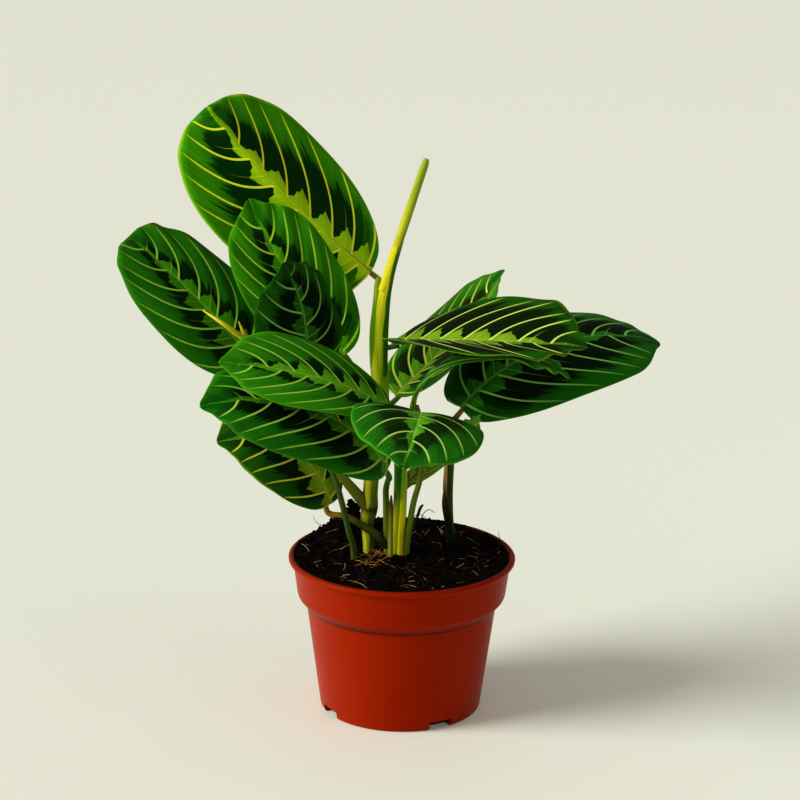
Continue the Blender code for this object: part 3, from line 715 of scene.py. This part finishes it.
def make_pot(material):
    """The moulded pot: rolled lip, band, slanted shoulder, tapered body and four drainage slots at its foot."""
    profile = [
        (0, FLOOR), (BASE_RADIUS - WALL, FLOOR), (BODY_TOP_RADIUS - WALL, BODY_TOP),
        (BAND_FOOT_RADIUS - WALL, BAND_FOOT + 1), (BAND_TOP_RADIUS - WALL, LIP_UNDER),
        (LIP_RADIUS - 3.2, POT_HEIGHT - 0.8), (LIP_RADIUS - 2.4, POT_HEIGHT),
        (LIP_RADIUS - 0.9, POT_HEIGHT - 0.2), (LIP_RADIUS, POT_HEIGHT - 1.2),
        (LIP_RADIUS - 0.2, LIP_UNDER + 0.5), (LIP_RADIUS - 1.0, LIP_UNDER),
        (BAND_TOP_RADIUS, LIP_UNDER - 0.4), (BAND_FOOT_RADIUS, BAND_FOOT), (BODY_TOP_RADIUS, BODY_TOP),
        (BASE_RADIUS, 0), (0, 0),
    ]
    pot = turned("pot_shell", rounded(profile, CORNER_RADIUS), POT_SIDES)
    cutters = []
    reach = BASE_RADIUS - 1
    for turn in map(math.radians, SLOT_ANGLES):
        bpy.ops.mesh.primitive_cube_add(size=1)
        cutter = bpy.context.object
        cutter.scale = (SLOT_DEPTH * MM, SLOT_WIDTH * MM, 2 * SLOT_HEIGHT * MM)
        cutter.location = (reach * math.cos(turn) * MM, reach * math.sin(turn) * MM, 0)
        cutter.rotation_euler = (0, 0, turn)
        cut = pot.modifiers.new("drainage slot", "BOOLEAN")
        cut.operation = "DIFFERENCE"
        cut.object = cutter
        cutters.append(cutter)
    mesh = painted(final_mesh(pot, *cutters), material)
    mesh.shade_smooth()
    mesh.set_sharp_from_angle(angle=math.radians(35))
    settle(add_object("pot_shell", mesh), "pot", "pot")


# Soil

def hump(x, y, middle_x, middle_y, height, width):
    """Height of a round hump at x, y."""
    return height * math.exp(-((x - middle_x) ** 2 + (y - middle_y) ** 2) / width ** 2)


def ripple(x, y, size, layer):
    return noise.noise(Vector((x / size, y / size, layer)))


def soil_height(x, y):
    """Height of the soil's surface: a low heap round the stems, a clod at the back left, and crumbly lumps."""
    radius = math.hypot(x, y)
    edge = min(1.0, max(0.0, (SOIL_EDGE + 1 - radius) / 5))
    humps = hump(x, y, *HEAP) + hump(x, y, *BACK_HEAP) + hump(x, y, *CLOD_FOOT) * edge
    back = BACK_RISE * max(0.0, y / SOIL_EDGE) ** 2
    lumps = 1.3 * ripple(x, y, 9, 0.5) + 0.8 * ripple(x, y, 4, 3.5)
    crumbs = 0.7 * ripple(x, y, 1.6, 7.5) + 0.4 * ripple(x, y, 0.8, 9.5)
    banked = BANK_HEIGHT * min(1.0, max(0.0, (radius - BANK_START) / BANK_WIDTH)) ** 2
    return SOIL_TOP + humps + back + banked + (lumps + crumbs) * max(edge, 0.35)


def make_soil(material):
    inner = WALL + GAP
    rings = [(SOIL_EDGE * ring / SOIL_RINGS, SOIL_TOP) for ring in range(1, SOIL_RINGS + 1)]
    profile = [(0, SOIL_TOP)] + rings + [
        (SOIL_EDGE + 0.9, SOIL_TOP), (SOIL_EDGE, SOIL_TOP - 1), (BAND_FOOT_RADIUS - inner, BAND_FOOT + 1),
        (BODY_TOP_RADIUS - inner, BODY_TOP), (BASE_RADIUS - inner, FLOOR + GAP), (0, FLOOR + GAP)]
    mesh = painted(final_mesh(turned("soil_body", profile, POT_SIDES)), material)
    for vert in mesh.vertices:
        x, y, z = vert.co / MM
        if z > SOIL_TOP - 0.01:
            vert.co.z = soil_height(x, y) * MM
    mesh.shade_smooth()
    return settle(add_object("soil_body", mesh), "soil", "soil")


def soil_points(tree):
    """Where a point of the soil lies, and 1 if it is on the soil's top or 0 if it is on its sides or base."""
    _, _, facing = parts_of(add_node(tree, "GeometryNodeInputNormal"))
    x, y, height = parts_of(add_node(tree, "GeometryNodeInputPosition"))
    return x, y, above(LEVEL_ENOUGH, facing) * above(STREWN_ABOVE, height)


def crumb_tree():
    """Geometry Nodes that strew rough crumbs over the upward faces of the soil."""
    tree, given = new_tree("crumbs", {
        "Geometry": ["Geometry"], "Float": ["Density", "Smallest", "Largest"], "Int": ["Seed"],
        "Material": ["Material"]})
    position = add_node(tree, "GeometryNodeInputPosition")
    ball = add_node(tree, "GeometryNodeMeshIcoSphere", Radius=MM, Subdivisions=2)
    crumb = placed(ball, scaled(position, noise_at(position, 900.0) * 1.4 + 0.3))
    turn = random_value(given["Seed"], "FLOAT_VECTOR", (0, 0, 0), [FULL_TURN] * 3)
    low, high = [vector(*[given[label]] * 3) for label in ("Smallest", "Largest")]
    size = random_value(given["Seed"], "FLOAT_VECTOR", low, high)
    return finished(tree, strewn_over(given, soil_points(tree)[2], crumb, turn, size), given)


def fibre_tree():
    """Geometry Nodes that lay bent coir fibres over the soil."""
    tree, given = new_tree("coir fibres", {
        "Geometry": ["Geometry"], "Float": ["Density", "Longest", "Thickness", "Rise", "Spread"],
        "Int": ["Seed"], "Vector": ["Centre"], "Material": ["Material"]})
    x, y, top = soil_points(tree)
    centre_x, centre_y, _ = parts_of(given["Centre"])
    within = length_of(x - centre_x * MM, y - centre_y * MM).maths("LESS_THAN", given["Spread"] * MM)
    bow = add_node(tree, "GeometryNodeCurvePrimitiveBezierSegment", Resolution=9, Start=(-0.5, 0, 0),
                   Start_Handle=(-0.2, 0.10, 0.08), End_Handle=(0.2, -0.12, 0.10), End=(0.5, 0.04, 0.02))
    lean = given["Rise"]
    turn = random_value(given["Seed"], "FLOAT_VECTOR", vector(lean * -1, lean * -1, 0.0),
                        vector(lean, lean, FULL_TURN))
    size = random_value(given["Seed"] + 3, "FLOAT", given["Longest"] * (0.3 * MM), given["Longest"] * MM)
    laid = strewn_over(given, top * within, bow, turn, size)
    laid = add_node(tree, "GeometryNodeSetCurveRadius", Curve=laid, Radius=given["Thickness"] * (0.5 * MM))
    return finished(tree, tube_along(laid, ring_of(tree, 5)), given)


def make_clod(material):
    """Lumps of peat that stand up at the back left."""
    shape = bmesh.new()
    for number, (x, y, z, radius) in enumerate(CLOD_LUMPS):
        place = Matrix.Translation((x * MM, y * MM, z * MM))
        made = bmesh.ops.create_icosphere(shape, subdivisions=4, radius=radius * MM, matrix=place)
        for vert in made["verts"]:
            out = vert.co - place.translation
            rough = noise.noise(vert.co * 300 + Vector((number, 0, 0))) + 0.8 * noise.noise(vert.co * 800)
            vert.co = place.translation + out * (0.85 + 0.6 * rough)
    mesh = bpy.data.meshes.new("peat_clod")
    shape.to_mesh(mesh)
    shape.free()
    return add_object("peat_clod", painted(mesh, material))


# Materials

def paint(red, green, blue):
    """A colour as the eye reads it, 0 to 255, as the linear colour that Blender mixes."""
    shares = [level / 255 for level in (red, green, blue)]
    return [((share + 0.055) / 1.055) ** 2.4 if share > 0.04 else share / 12.92 for share in shares] + [1.0]


def shaded(material, **values):
    """The material, with these values or fields fed to its shader."""
    for name, value in values.items():
        feed(value, material.node_tree.nodes["Principled BSDF"].inputs[name.replace("_", " ")])
    return material


def new_material(name, roughness=0.5, specular=0.5, sheen=(255, 255, 255)):
    material = bpy.data.materials.new(name)
    material.use_nodes = True
    shaded(material, Roughness=roughness, Specular_IOR_Level=specular, Specular_Tint=paint(*sheen))
    return material, material.node_tree


def bump(height, depth):
    return add_node(height.tree, "ShaderNodeBump", Strength=1.0, Distance=depth, Height=height)


def stored_value(tree, name, pick="Fac"):
    return add_node(tree, "ShaderNodeAttribute", pick, attribute_name=name)


def draw_curve(field, points):
    """A Float Curve node's line goes straight from point to point."""
    node = field.socket.node
    line = node.mapping.curves[0]
    while len(line.points) < len(points):
        line.points.new(0.5, 0.5)
    for knot, place in zip(line.points, points):
        knot.location = place
        knot.handle_type = "VECTOR"
    node.mapping.update()


def markings_group():
    """The leaf's markings, by place between the veins: lime lobes, dark blotches, veins and green margins."""
    tree, given = new_tree("leaf markings", {
        "Vector": ["Place", "Flat"],
        "Float": ["Seed", "Blotch Reach", "Lobe Reach", "Feather", "Vein Width", "Crowd", "Right Lobes",
                  "Browned Edge"],
        "Color": ["Lime", "Vein", "Dark", "Green", "Margin"]},
        {"Color": ["Colour"], "Float": ["Roughness", "Height"]}, "ShaderNodeTree")
    row, signed, width = parts_of(given["Place"])
    along, sideways, _ = parts_of(given["Flat"])
    v = abs(signed)
    right = above(0.0, signed)
    turn = (row * given["Crowd"] + right) / 2
    t = turn.maths("FRACT")
    number = turn.maths("FLOOR") + right * 37 + given["Seed"]

    def chance(offset):
        return add_node(tree, "ShaderNodeTexWhiteNoise", noise_dimensions="1D", W=number + offset)

    def streaks(across, outward):
        """Noise drawn out along the veins: across is how many a panel has, outward how soon they end."""
        return noise_at(vector(turn * across, v * outward, given["Seed"]), 1.0, detail=3.0) - 0.5

    broad = streaks(5.0, 1.3)
    narrow = streaks(10.0, 1.8)
    hair = streaks(46.0, 3.0)

    # Lime band along the midrib, cut into one toothed lobe between each two veins
    ragged = noise_at(vector(turn * 7.0, v * 9.0, number), 1.0) - 0.5
    tooth_place = clip(t * (0.80 + chance(1.5) * 0.28) + ragged * 0.04)
    toothed = add_node(tree, "ShaderNodeFloatCurve", Value=tooth_place)
    draw_curve(toothed, LOBE_OUTLINE)
    size = 1 + ramp(row, 4.0, 0.5) * 0.25 - ramp(row, 10.5, 14.8) * 0.45
    size = size * (0.86 + chance(3.5) * 0.28) * given["Lobe Reach"] * between(right, 1.0, given["Right Lobes"])
    lobe = toothed * size + ragged * 0.025
    lime = ramp(v - lobe, 0.012, -0.010)

    # Dark blotch beyond each lobe, feathered outward in streaks along the veins
    middle = 1 - (t * 2 - 1) * (t * 2 - 1)
    feathers = broad * 0.36 + narrow * given["Feather"] + hair * 0.1
    outer = given["Blotch Reach"] + (chance(4.5) - 0.5) * 0.18 + middle * 0.10 + feathers
    spared = ramp(row + broad * 3, 0.8, 3.2) * ramp(row, 14.6, 13.4)
    dark = ramp(v - outer, 0.05, -0.05) * spared

    # Veins taper to the margin, and some lobes send a faint one on between two others
    beside = at_most(1 - t, t) * width
    thick = at_most(width * 0.16, between(v, 0.60, 0.40)) * given["Vein Width"] * ramp(v, 1.05, 0.86)
    vein = ramp(beside - thick, 0.13, -0.13) * ramp(v, 1.0, 0.94) * ramp(row, 14.7, 14.3)
    peak_at = 0.40 + (chance(7.5) - 0.5) * 0.08
    faint_line = ramp(abs(t - peak_at) * width, 0.30, 0.05)
    carried_on = ramp(v, 0.68, 0.25) * ramp(chance(5.5), 0.50, 0.72)
    faint = faint_line * (lime * 0.3 + carried_on * 0.55)
    rib_width = between(clip(along / (95 * FLAT_SCALE)), 0.85, 0.36)
    rib = ramp(abs(sideways) / FLAT_SCALE - rib_width, 0.15, -0.15)

    paler = ramp(v, 0.45, 1.0) * 0.75 + narrow * 0.8 + broad * 0.8
    washed = layered(given["Lime"],
                     (ramp(v, 0.10, 0.34) * 0.45 + ragged * 0.25, given["Margin"]),
                     (ramp(row, 11.5, 15.0) * 0.6, given["Margin"]),
                     (ramp(hair, 0.02, 0.14) * 0.12, given["Green"]))
    ribbed = layered(given["Vein"], (rib * 0.6, given["Lime"]),
                     (ramp(along, 0.06, 0.01) * 0.3, paint(190, 128, 30)))
    browned = ramp(noise_at(given["Flat"], 16.0), 0.56, 0.64) * ramp(v, 0.955, 0.985)
    colour = layered(given["Green"],
                     (clip(paler), given["Margin"]),
                     (ramp(row, 3.6, 0.2) * 0.6, given["Margin"]),
                     (dark, given["Dark"]),
                     (ramp(hair, 0.0, 0.2) * (1 - dark) * 0.22, given["Dark"]),
                     (lime, washed),
                     (faint, given["Vein"]),
                     (vein, blended(ramp(v, 0.7, 0.98) * 0.45, given["Vein"], given["Lime"])),
                     (rib * ramp(row, 15.2, 11.0), ribbed),
                     # Painted highlight: a thin lime rim along every margin, where the edge catches the light.
                     (ramp(v, 0.978, 0.995) * 0.5, given["Lime"]),
                     (browned * given["Browned Edge"], paint(112, 58, 24)))
    grain = noise_at(given["Flat"], 260.0)
    return give(tree, Colour=colour, Roughness=0.52 + grain * 0.14 + narrow * 0.12,
                Height=hair * 0.5 + narrow * 0.4 + grain * 0.15 - vein * 0.7 - rib * 0.9)


def blade_material(name, group, seed, tone, crowd=1.0):
    material, tree = new_material(name, specular=0.14, sheen=(170, 220, 120))
    colours = {label.title(): paint(*value) for label, value in zip(tone._fields, tone[:5])}
    marks = add_node(
        tree, "ShaderNodeGroup", node_tree=group, Place=stored_value(tree, "leaf_place", "Vector"),
        Flat=add_node(tree, "ShaderNodeUVMap", uv_map="flat"), Seed=float(seed), Crowd=crowd,
        Blotch_Reach=tone.blotch, Lobe_Reach=tone.lobes, Right_Lobes=tone.right_lobes, Feather=tone.feather,
        Vein_Width=tone.veins, Browned_Edge=tone.browned, **colours)
    colour, roughness, height = [Field(tree, socket) for socket in marks.socket.node.outputs]
    return shaded(material, Base_Color=colour, Roughness=roughness, Normal=bump(height, 0.00025))


# How each kind of blade is coloured: its lime band, veins, dark blotches, green and margin, then how far the
# blotches and lobes reach, how feathered the blotches are, how thick its veins are and how browned its edge is
Tone = namedtuple("Tone", "lime vein dark green margin blotch lobes right_lobes feather veins browned",
                  defaults=(0.58, 1.0, 1.0, 0.3, 1.0, 0.0))
BLADE_TONES = {
    "sunlit": Tone((172, 216, 20), (228, 238, 56), (3, 52, 6), (32, 106, 6), (76, 156, 8), blotch=0.66,
        feather=0.34, veins=1.15),
    "fresh": Tone((86, 168, 10), (180, 220, 66), (5, 44, 6), (40, 112, 8), (62, 142, 12), blotch=0.46,
        feather=0.3),
    "bright": Tone((70, 142, 14), (160, 210, 74), (3, 36, 5), (30, 104, 12), (50, 130, 16), blotch=0.40,
        feather=0.25, browned=0.8),
    "mild": Tone((104, 178, 22), (170, 220, 84), (6, 40, 6), (44, 122, 14), (62, 146, 18), blotch=0.36,
        lobes=1.15, feather=0.22),
    "folded": Tone((96, 176, 34), (190, 226, 112), (22, 52, 6), (26, 92, 14), (44, 126, 22), blotch=0.60,
        feather=0.3, veins=1.2),
    "deep": Tone((84, 150, 24), (172, 216, 88), (2, 32, 6), (14, 86, 12), (40, 122, 16), blotch=0.62,
        feather=0.4, veins=1.1),
    "low": Tone((150, 182, 26), (232, 232, 84), (6, 38, 6), (24, 82, 8), (48, 108, 12), blotch=0.62,
        lobes=1.2, feather=0.3, veins=1.15),
    "shaded": Tone((36, 96, 16), (126, 176, 84), (2, 22, 6), (16, 66, 12), (32, 92, 16), blotch=0.62,
        feather=0.4),
    "olive": Tone((126, 166, 30), (206, 222, 104), (10, 32, 4), (16, 58, 6), (36, 96, 10), blotch=0.84,
        right_lobes=2.0, feather=0.34, veins=1.1),
    "hidden": Tone((104, 156, 36), (196, 214, 84), (26, 46, 8), (30, 92, 14), (64, 142, 24), blotch=0.52,
        veins=1.15),
    "back": Tone((46, 122, 22), (146, 200, 96), (2, 28, 6), (14, 78, 10), (36, 120, 14), blotch=0.66,
        feather=0.4, lobes=0.85, veins=1.15),
    "arched": Tone((96, 160, 34), (180, 214, 104), (16, 62, 8), (38, 112, 16), (72, 146, 28), blotch=0.45),
    # The pale tone and the lighter underside after it are painted paler to stand in for light on leaves that
    # sit in shade.
    "pale": Tone((130, 158, 50), (164, 186, 80), (72, 110, 30), (92, 136, 38), (104, 160, 44), blotch=0.3),
    "under painted lighter": Tone((126, 164, 46), (150, 184, 66), (70, 116, 26), (88, 140, 36), (104, 160, 44),
        blotch=0.3),
    "under": Tone((104, 140, 52), (128, 160, 76), (44, 74, 30), (54, 92, 34), (72, 116, 42), blotch=0.5),
}

STEM_COLOURS = {
    # The main stem is darker toward its foot, partly as painted shade among the leaves there. Its yellow band
    # is partly a painted highlight on the side toward the light.
    "stem": dict(low=(76, 90, 24), high=(118, 132, 32), top=(150, 190, 24), turn_low=0.3, turn_high=0.6,
        side_colour_and_light=(196, 196, 40), side_facing=(-0.5, -0.87), side_band_width=0.2, nodes=(0.19, 0.26)),
    # The sheath round the rolled leaf: its darker green band is painted shade on the side away from the light.
    "roll_sheath": dict(low=(96, 146, 26), high=(186, 206, 34), top=(222, 212, 38), turn_low=0.35,
        turn_high=0.7, side_colour_and_light=(70, 124, 22), side_facing=(0.95, -0.3), side_band_width=0.5),
    "leaf_top": dict(low=(66, 144, 12), high=(108, 166, 18), top=(136, 156, 30), turn_low=0.35,
        turn_high=0.75, joint=(168, 140, 34)),
    "leaf_right_upper": dict(low=(86, 124, 30), high=(36, 88, 20), top=(36, 88, 20)),
    "leaf_behind_right": dict(low=(60, 100, 26), high=(70, 110, 30), top=(80, 120, 36)),
    "leaf_second": dict(low=(110, 140, 40), high=(120, 130, 40), top=(130, 130, 40)),
    "leaf_shaded": dict(low=(110, 116, 34), high=(122, 134, 38), top=(90, 110, 36)),
    "young_shoot": dict(low=(120, 150, 40), high=(170, 180, 34), top=(232, 222, 50)),
    "young_side_shoot": dict(low=(170, 180, 34), high=(214, 210, 44), top=(226, 220, 60)),
    "leaf_lower_front": dict(low=(164, 172, 44), high=(118, 140, 38), top=(54, 92, 24)),
    "leaf_front_left": dict(low=(238, 228, 46), high=(206, 214, 40), top=(40, 104, 20), turn_low=0.24,
        turn_high=0.52),
    "leaf_centre": dict(low=(252, 238, 56), high=(248, 240, 34), top=(100, 170, 22), turn_low=0.25,
        turn_high=0.5, side_colour_and_light=(224, 164, 36), side_facing=(0.75, -0.65), side_band_width=0.1),
    "leaf_edge_on": dict(low=(152, 178, 44), high=(106, 142, 40), top=(96, 96, 34), joint=(120, 96, 40)),
    "leaf_underside": dict(low=(96, 120, 40), high=(96, 120, 40), top=(110, 130, 50)),
    "leaf_low_left": dict(low=(44, 62, 18), high=(78, 96, 30), top=(140, 112, 32), turn_low=0.4,
        turn_high=0.75, joint=(168, 110, 34)),
    "leaf_left": dict(low=(78, 94, 38), high=(64, 90, 34), top=(84, 110, 38)),
    "leaf_far_right": dict(low=(10, 28, 8), high=(20, 50, 14), top=(64, 84, 24), turn_low=0.3, turn_high=0.7,
        joint=(176, 138, 36), side_colour_and_light=(34, 42, 16), side_facing=(-0.9, -0.4), side_band_width=0.25,
        nodes=(0.36, 0.40)),
    "torn_sheath": dict(low=(50, 36, 18), high=(60, 42, 20), top=(190, 156, 96)),
}


def stem_material(name, low, high, top, turn_low=0.3, turn_high=0.7, joint=None, side_colour_and_light=None,
                  side_facing=(1, 0), side_band_width=0.5, nodes=()):
    """A fleshy stem: low, high and top are its colours up its length, and joint is that of its last stretch.

    A band of colour runs up the side that faces the given direction. On some stalks it is their own colour. On
    the main stem it is partly a painted highlight on the side toward the light. On the rolled leaf and its
    sheath it is partly painted shade on the side away from the light. Dark scars ring it at the shares in
    nodes.
    """
    material, tree = new_material(name, roughness=0.42, specular=0.3, sheen=(225, 235, 150))
    along, around, reach = [stored_value(tree, label) for label in ("along", "around", "reach")]
    lines = noise_at(vector(around * 14, reach * 60, 0.0), 1.0, detail=3.0)
    colour = layered(paint(*low), (ramp(along, 0.0, turn_low), paint(*high)),
                     (ramp(along, turn_low, turn_high), paint(*top)))
    if joint:
        colour = blended(ramp(along, 0.88, 0.93), colour, paint(*joint))
    # A band up one side. It is the stalk's own colour on some stalks, partly a painted highlight on the main
    # stem, and partly painted shade on the rolled leaf and its sheath.
    if side_colour_and_light:
        facing_x, facing_y, _ = parts_of(add_node(tree, "ShaderNodeTexCoord", "Normal"))
        facing = facing_x * side_facing[0] + facing_y * side_facing[1] + (lines - 0.5) * 0.8
        colour = blended(ramp(facing, 1 - side_band_width, 1.15 - side_band_width), colour, paint(*side_colour_and_light))
    darker = add_node(tree, "ShaderNodeHueSaturation", Color=colour, Value=0.66)
    colour = blended(ramp(lines, 0.46, 0.70) * 0.6, colour, darker)
    for share in nodes:
        scar = bell((along + (lines - 0.5) * 0.02 - share) / 0.012)
        colour = blended(scar * 0.85, colour, paint(54, 40, 18))
    return shaded(material, Base_Color=colour, Roughness=0.36 + lines * 0.2, Normal=bump(lines, 0.0003))


def pot_material():
    """Moulded terracotta-coloured plastic: satin, faintly mottled, with soil rubbed on near the lip and painted
    shade at the shoulder.
    """
    material, tree = new_material("terracotta plastic", specular=0.12, sheen=(255, 140, 40))
    place = add_node(tree, "ShaderNodeTexCoord", "Object")
    x, y, z = parts_of(place)
    height = z / MM
    radius = length_of(x, y) / MM
    cloud = noise_at(place, 35.0, detail=4.0)
    grain = noise_at(place, 900.0)
    flecks = noise_at(place, 420.0, detail=3.0, roughness=0.7)
    dirt = ramp(flecks - ramp(height, POT_HEIGHT - 14, POT_HEIGHT) * 0.06, 0.70, 0.76)
    # Painted shade: a dark line in the crease where the shoulder meets the body, and a fainter shade over the
    # slanted shoulder above it.
    painted_crease_shade = bell((height - BODY_TOP - 0.6) / 0.9)
    painted_shoulder_shade = ramp(height, BODY_TOP + 5.8, BODY_TOP + 3) * ramp(height, BODY_TOP, BODY_TOP + 0.6)
    inside_lip = ramp(radius, LIP_RADIUS - 0.2, LIP_RADIUS - 3.4)
    soiled = inside_lip * ramp(height, SOIL_TOP + 0.5, SOIL_TOP + 2.5)
    colour = layered(paint(144, 32, 0), (cloud, paint(154, 38, 0)), (dirt * 0.7, paint(70, 36, 20)),
                     (painted_crease_shade * 0.6 + painted_shoulder_shade * 0.22, paint(50, 8, 0)),
                     (soiled * (0.55 + flecks * 0.6), paint(26, 12, 6)))
    scuffs = noise_at(vector(x, y, z * 6.0), 60.0, detail=5.0, roughness=0.65)
    return shaded(material, Base_Color=colour, Roughness=0.30 + scuffs * 0.16 + dirt * 0.3,
                  Normal=bump(grain * 0.5 + scuffs, 0.00006))


def soil_material(name, first, second, pale, depth=0.0012):
    material, tree = new_material(name, roughness=0.95, specular=0.08)
    place = add_node(tree, "ShaderNodeTexCoord", "Object")
    clumps = noise_at(place, 260.0, detail=4.0, roughness=0.65)
    specks = noise_at(place, 1100.0)
    colour = layered(paint(*first), (ramp(clumps, 0.35, 0.65), paint(*second)),
                     (ramp(specks, 0.66, 0.74) * 0.8, paint(*pale)))
    return shaded(material, Base_Color=colour, Normal=bump(clumps + specks * 0.5, depth))


def fibre_material(name, first, second):
    material, tree = new_material(name, roughness=0.8, specular=0.3)
    tint = noise_at(add_node(tree, "ShaderNodeTexCoord", "Object"), 90.0)
    return shaded(material, Base_Color=blended(ramp(tint, 0.4, 0.6), paint(*first), paint(*second)))


# Studio

def make_studio():
    """A plain pale floor, one large soft light from the left and front, a weak one opposite, and the camera."""
    bpy.ops.mesh.primitive_plane_add(size=8)
    floor = bpy.context.object
    floor.name = "floor"
    material, _ = new_material("pale floor", roughness=0.6)
    floor.data.materials.append(shaded(material, Base_Color=paint(232, 233, 218), Emission_Strength=0.10,
                                       Emission_Color=paint(236, 238, 222)))

    scene = bpy.context.scene
    scene.world = bpy.data.worlds.new("studio air")
    scene.world.use_nodes = True
    air = scene.world.node_tree.nodes["Background"]
    air.inputs["Color"].default_value = paint(232, 228, 222)
    air.inputs["Strength"].default_value = 0.36
    scene.view_settings.view_transform = "Standard"
    scene.view_settings.look = "Medium High Contrast"
    add_light("window light from the left", "SUN", (-0.92, -0.28, 0.66), 3.0, math.radians(30))
    add_light("fill from the right", "AREA", (1.3, -0.8, 0.6), 1.5, 1.0)

    camera = add_object("camera", bpy.data.cameras.new("camera"))
    camera.data.lens = CAMERA_LENS
    camera.data.sensor_width = 36
    camera.data.clip_end = 20
    tilt = Matrix.Rotation(math.radians(90 - CAMERA_BELOW_LEVEL), 4, "X")
    lean = Matrix.Rotation(math.radians(CAMERA_ROLL), 4, "Z")
    camera.matrix_world = Matrix.Translation(CAMERA_PLACE) @ tilt @ lean
    scene.camera = camera


def add_light(name, kind, place, power, spread):
    """A lamp that looks at the plant. Spread is a sun's angle or an area lamp's width."""
    light = bpy.data.lights.new(name, kind)
    light.energy = power
    setattr(light, "angle" if kind == "SUN" else "size", spread)
    lamp = add_object(name, light)
    lamp.location = place
    lamp.rotation_euler = (Vector((0, 0, 0.15)) - Vector(place)).to_track_quat("-Z", "Y").to_euler()


# The plant

def make_blades(tube):
    markings = markings_group()
    tree = leaf_blade_tree()
    under = blade_material("blade underside", markings, 50, BLADE_TONES["under"])
    # A copy of the underside painted lighter, standing in for light on the leaves in shade.
    underside_painted_lighter = blade_material("blade underside painted lighter", markings, 60, BLADE_TONES["under painted lighter"])
    keel_colour = stem_material("keel under the midrib", (150, 150, 50), (120, 144, 54), (96, 128, 44))
    for number, (name, pose) in enumerate(LEAVES.items()):
        upper = blade_material("blade of " + name, markings, number * 3.1, BLADE_TONES[pose.tone], pose.crowd)
        # The pale and arched leaves stand in shade, so they take the underside painted lighter.
        make_leaf(name, pose, tree, upper, underside_painted_lighter if pose.tone in ("pale", "arched") else under)
        settle(make_strand(name + "_keel", keel_route(pose), tube, keel_colour, sides=12), "blade")


def make_stems(tube):
    for shoot, strands in SHOOTS.items():
        for label, route in strands.items():
            name = label
            if label in LEAVES:
                name = "stalk_of_" + label
                route = route + stalk_end(LEAVES[label])
            material = stem_material("stem colour of " + name, **STEM_COLOURS[label])
            settle(make_strand(name, route, tube, material), "stem", shoot)
    # The rolled leaf: its green band on the side away from the light is partly painted shade and partly the
    # seam of the roll.
    roll_colour = stem_material("rolled leaf", (222, 212, 38), (200, 198, 42), (158, 172, 46), 0.3, 0.9,
                                side_colour_and_light=(134, 168, 34), side_facing=(0.9, -0.4), side_band_width=0.3)
    roll = make_strand("rolled_leaf", [roll_foot()] + ROLL, tube, roll_colour, 48, roll_step=0.16, twist=2.4)
    settle(roll, "rolled_leaf", "new_leaf_roll")
    dry = stem_material("dry sheath", (158, 164, 60), (150, 146, 56), (88, 60, 30), 0.5, 0.9)
    sheath = make_strand("dry_sheath", DRY_SHEATH, tube, dry, ribs=5.0, rib_depth=0.12)
    settle(sheath, "dry_sheath", "dry_sheath_front")


def roll_foot(radius=2.6):
    """The rolled leaf's lowest point on its own line, from its CAD node."""
    low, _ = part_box("new_leaf_roll")
    first, second = Vector(ROLL[0][:3]) * MM, Vector(ROLL[1][:3]) * MM
    line = (second - first).normalized()
    foot = first - line * ((first.z - low.z) / line.z - radius * MM * 0.3)
    return (*[round(c / MM, 2) for c in foot], radius)


def make_ground(tube):
    soil_colour = soil_material("dark peat", (6, 3, 1), (17, 9, 5), (52, 30, 17))
    soil = make_soil(soil_colour)

    def strew(name, tree, **values):
        """A piece of loose stuff that a tree lays over the soil."""
        settle(add_object(name, grown(name, tree, values, soil.data)), "soil")

    crumbs = crumb_tree()
    for number, (density, smallest, largest) in enumerate([(160000.0, 0.25, 0.8), (26000.0, 0.7, 1.7)]):
        colour = soil_material(f"peat crumbs {number}", (5, 3, 1), (24, 13, 7), (90, 52, 28), depth=0.0005)
        strew(f"peat_crumbs_{number}", crumbs, Density=density, Smallest=smallest, Largest=largest,
              Seed=number + 4, Material=colour)
    fibres = fibre_tree()
    middle, whole = (0, 0, 0), SOIL_EDGE - 4
    kinds = [("pale_fibres", 7000.0, 12.0, 0.19, 0.7, middle, whole, (160, 112, 74), (226, 192, 150)),
             ("dark_fibres", 22000.0, 10.0, 0.20, 0.6, middle, whole, (44, 26, 16), (92, 56, 32)),
             ("coir_tuft", 70000.0, 24.0, 0.26, 0.6, (-13, -8.5, 0), 10.0, (160, 92, 38), (232, 158, 74))]
    for number, (name, density, longest, thickness, rising, centre, spread, first, second) in enumerate(kinds):
        strew(name, fibres, Density=density, Longest=longest, Thickness=thickness, Rise=rising, Centre=centre,
              Spread=spread, Seed=number + 11, Material=fibre_material(name.replace("_", " "), first, second))
    settle(make_clod(soil_colour), "soil")
    bark = fibre_material("stray sticks", (12, 8, 5), (44, 28, 16))
    for number, route in enumerate(STRAY_STICKS):
        settle(make_strand(f"stray_stick_{number}", route, tube, bark, sides=8), "soil")


make_studio()
make_pot(pot_material())
tube_tree = strand_tree()
make_ground(tube_tree)
make_stems(tube_tree)
make_blades(tube_tree)
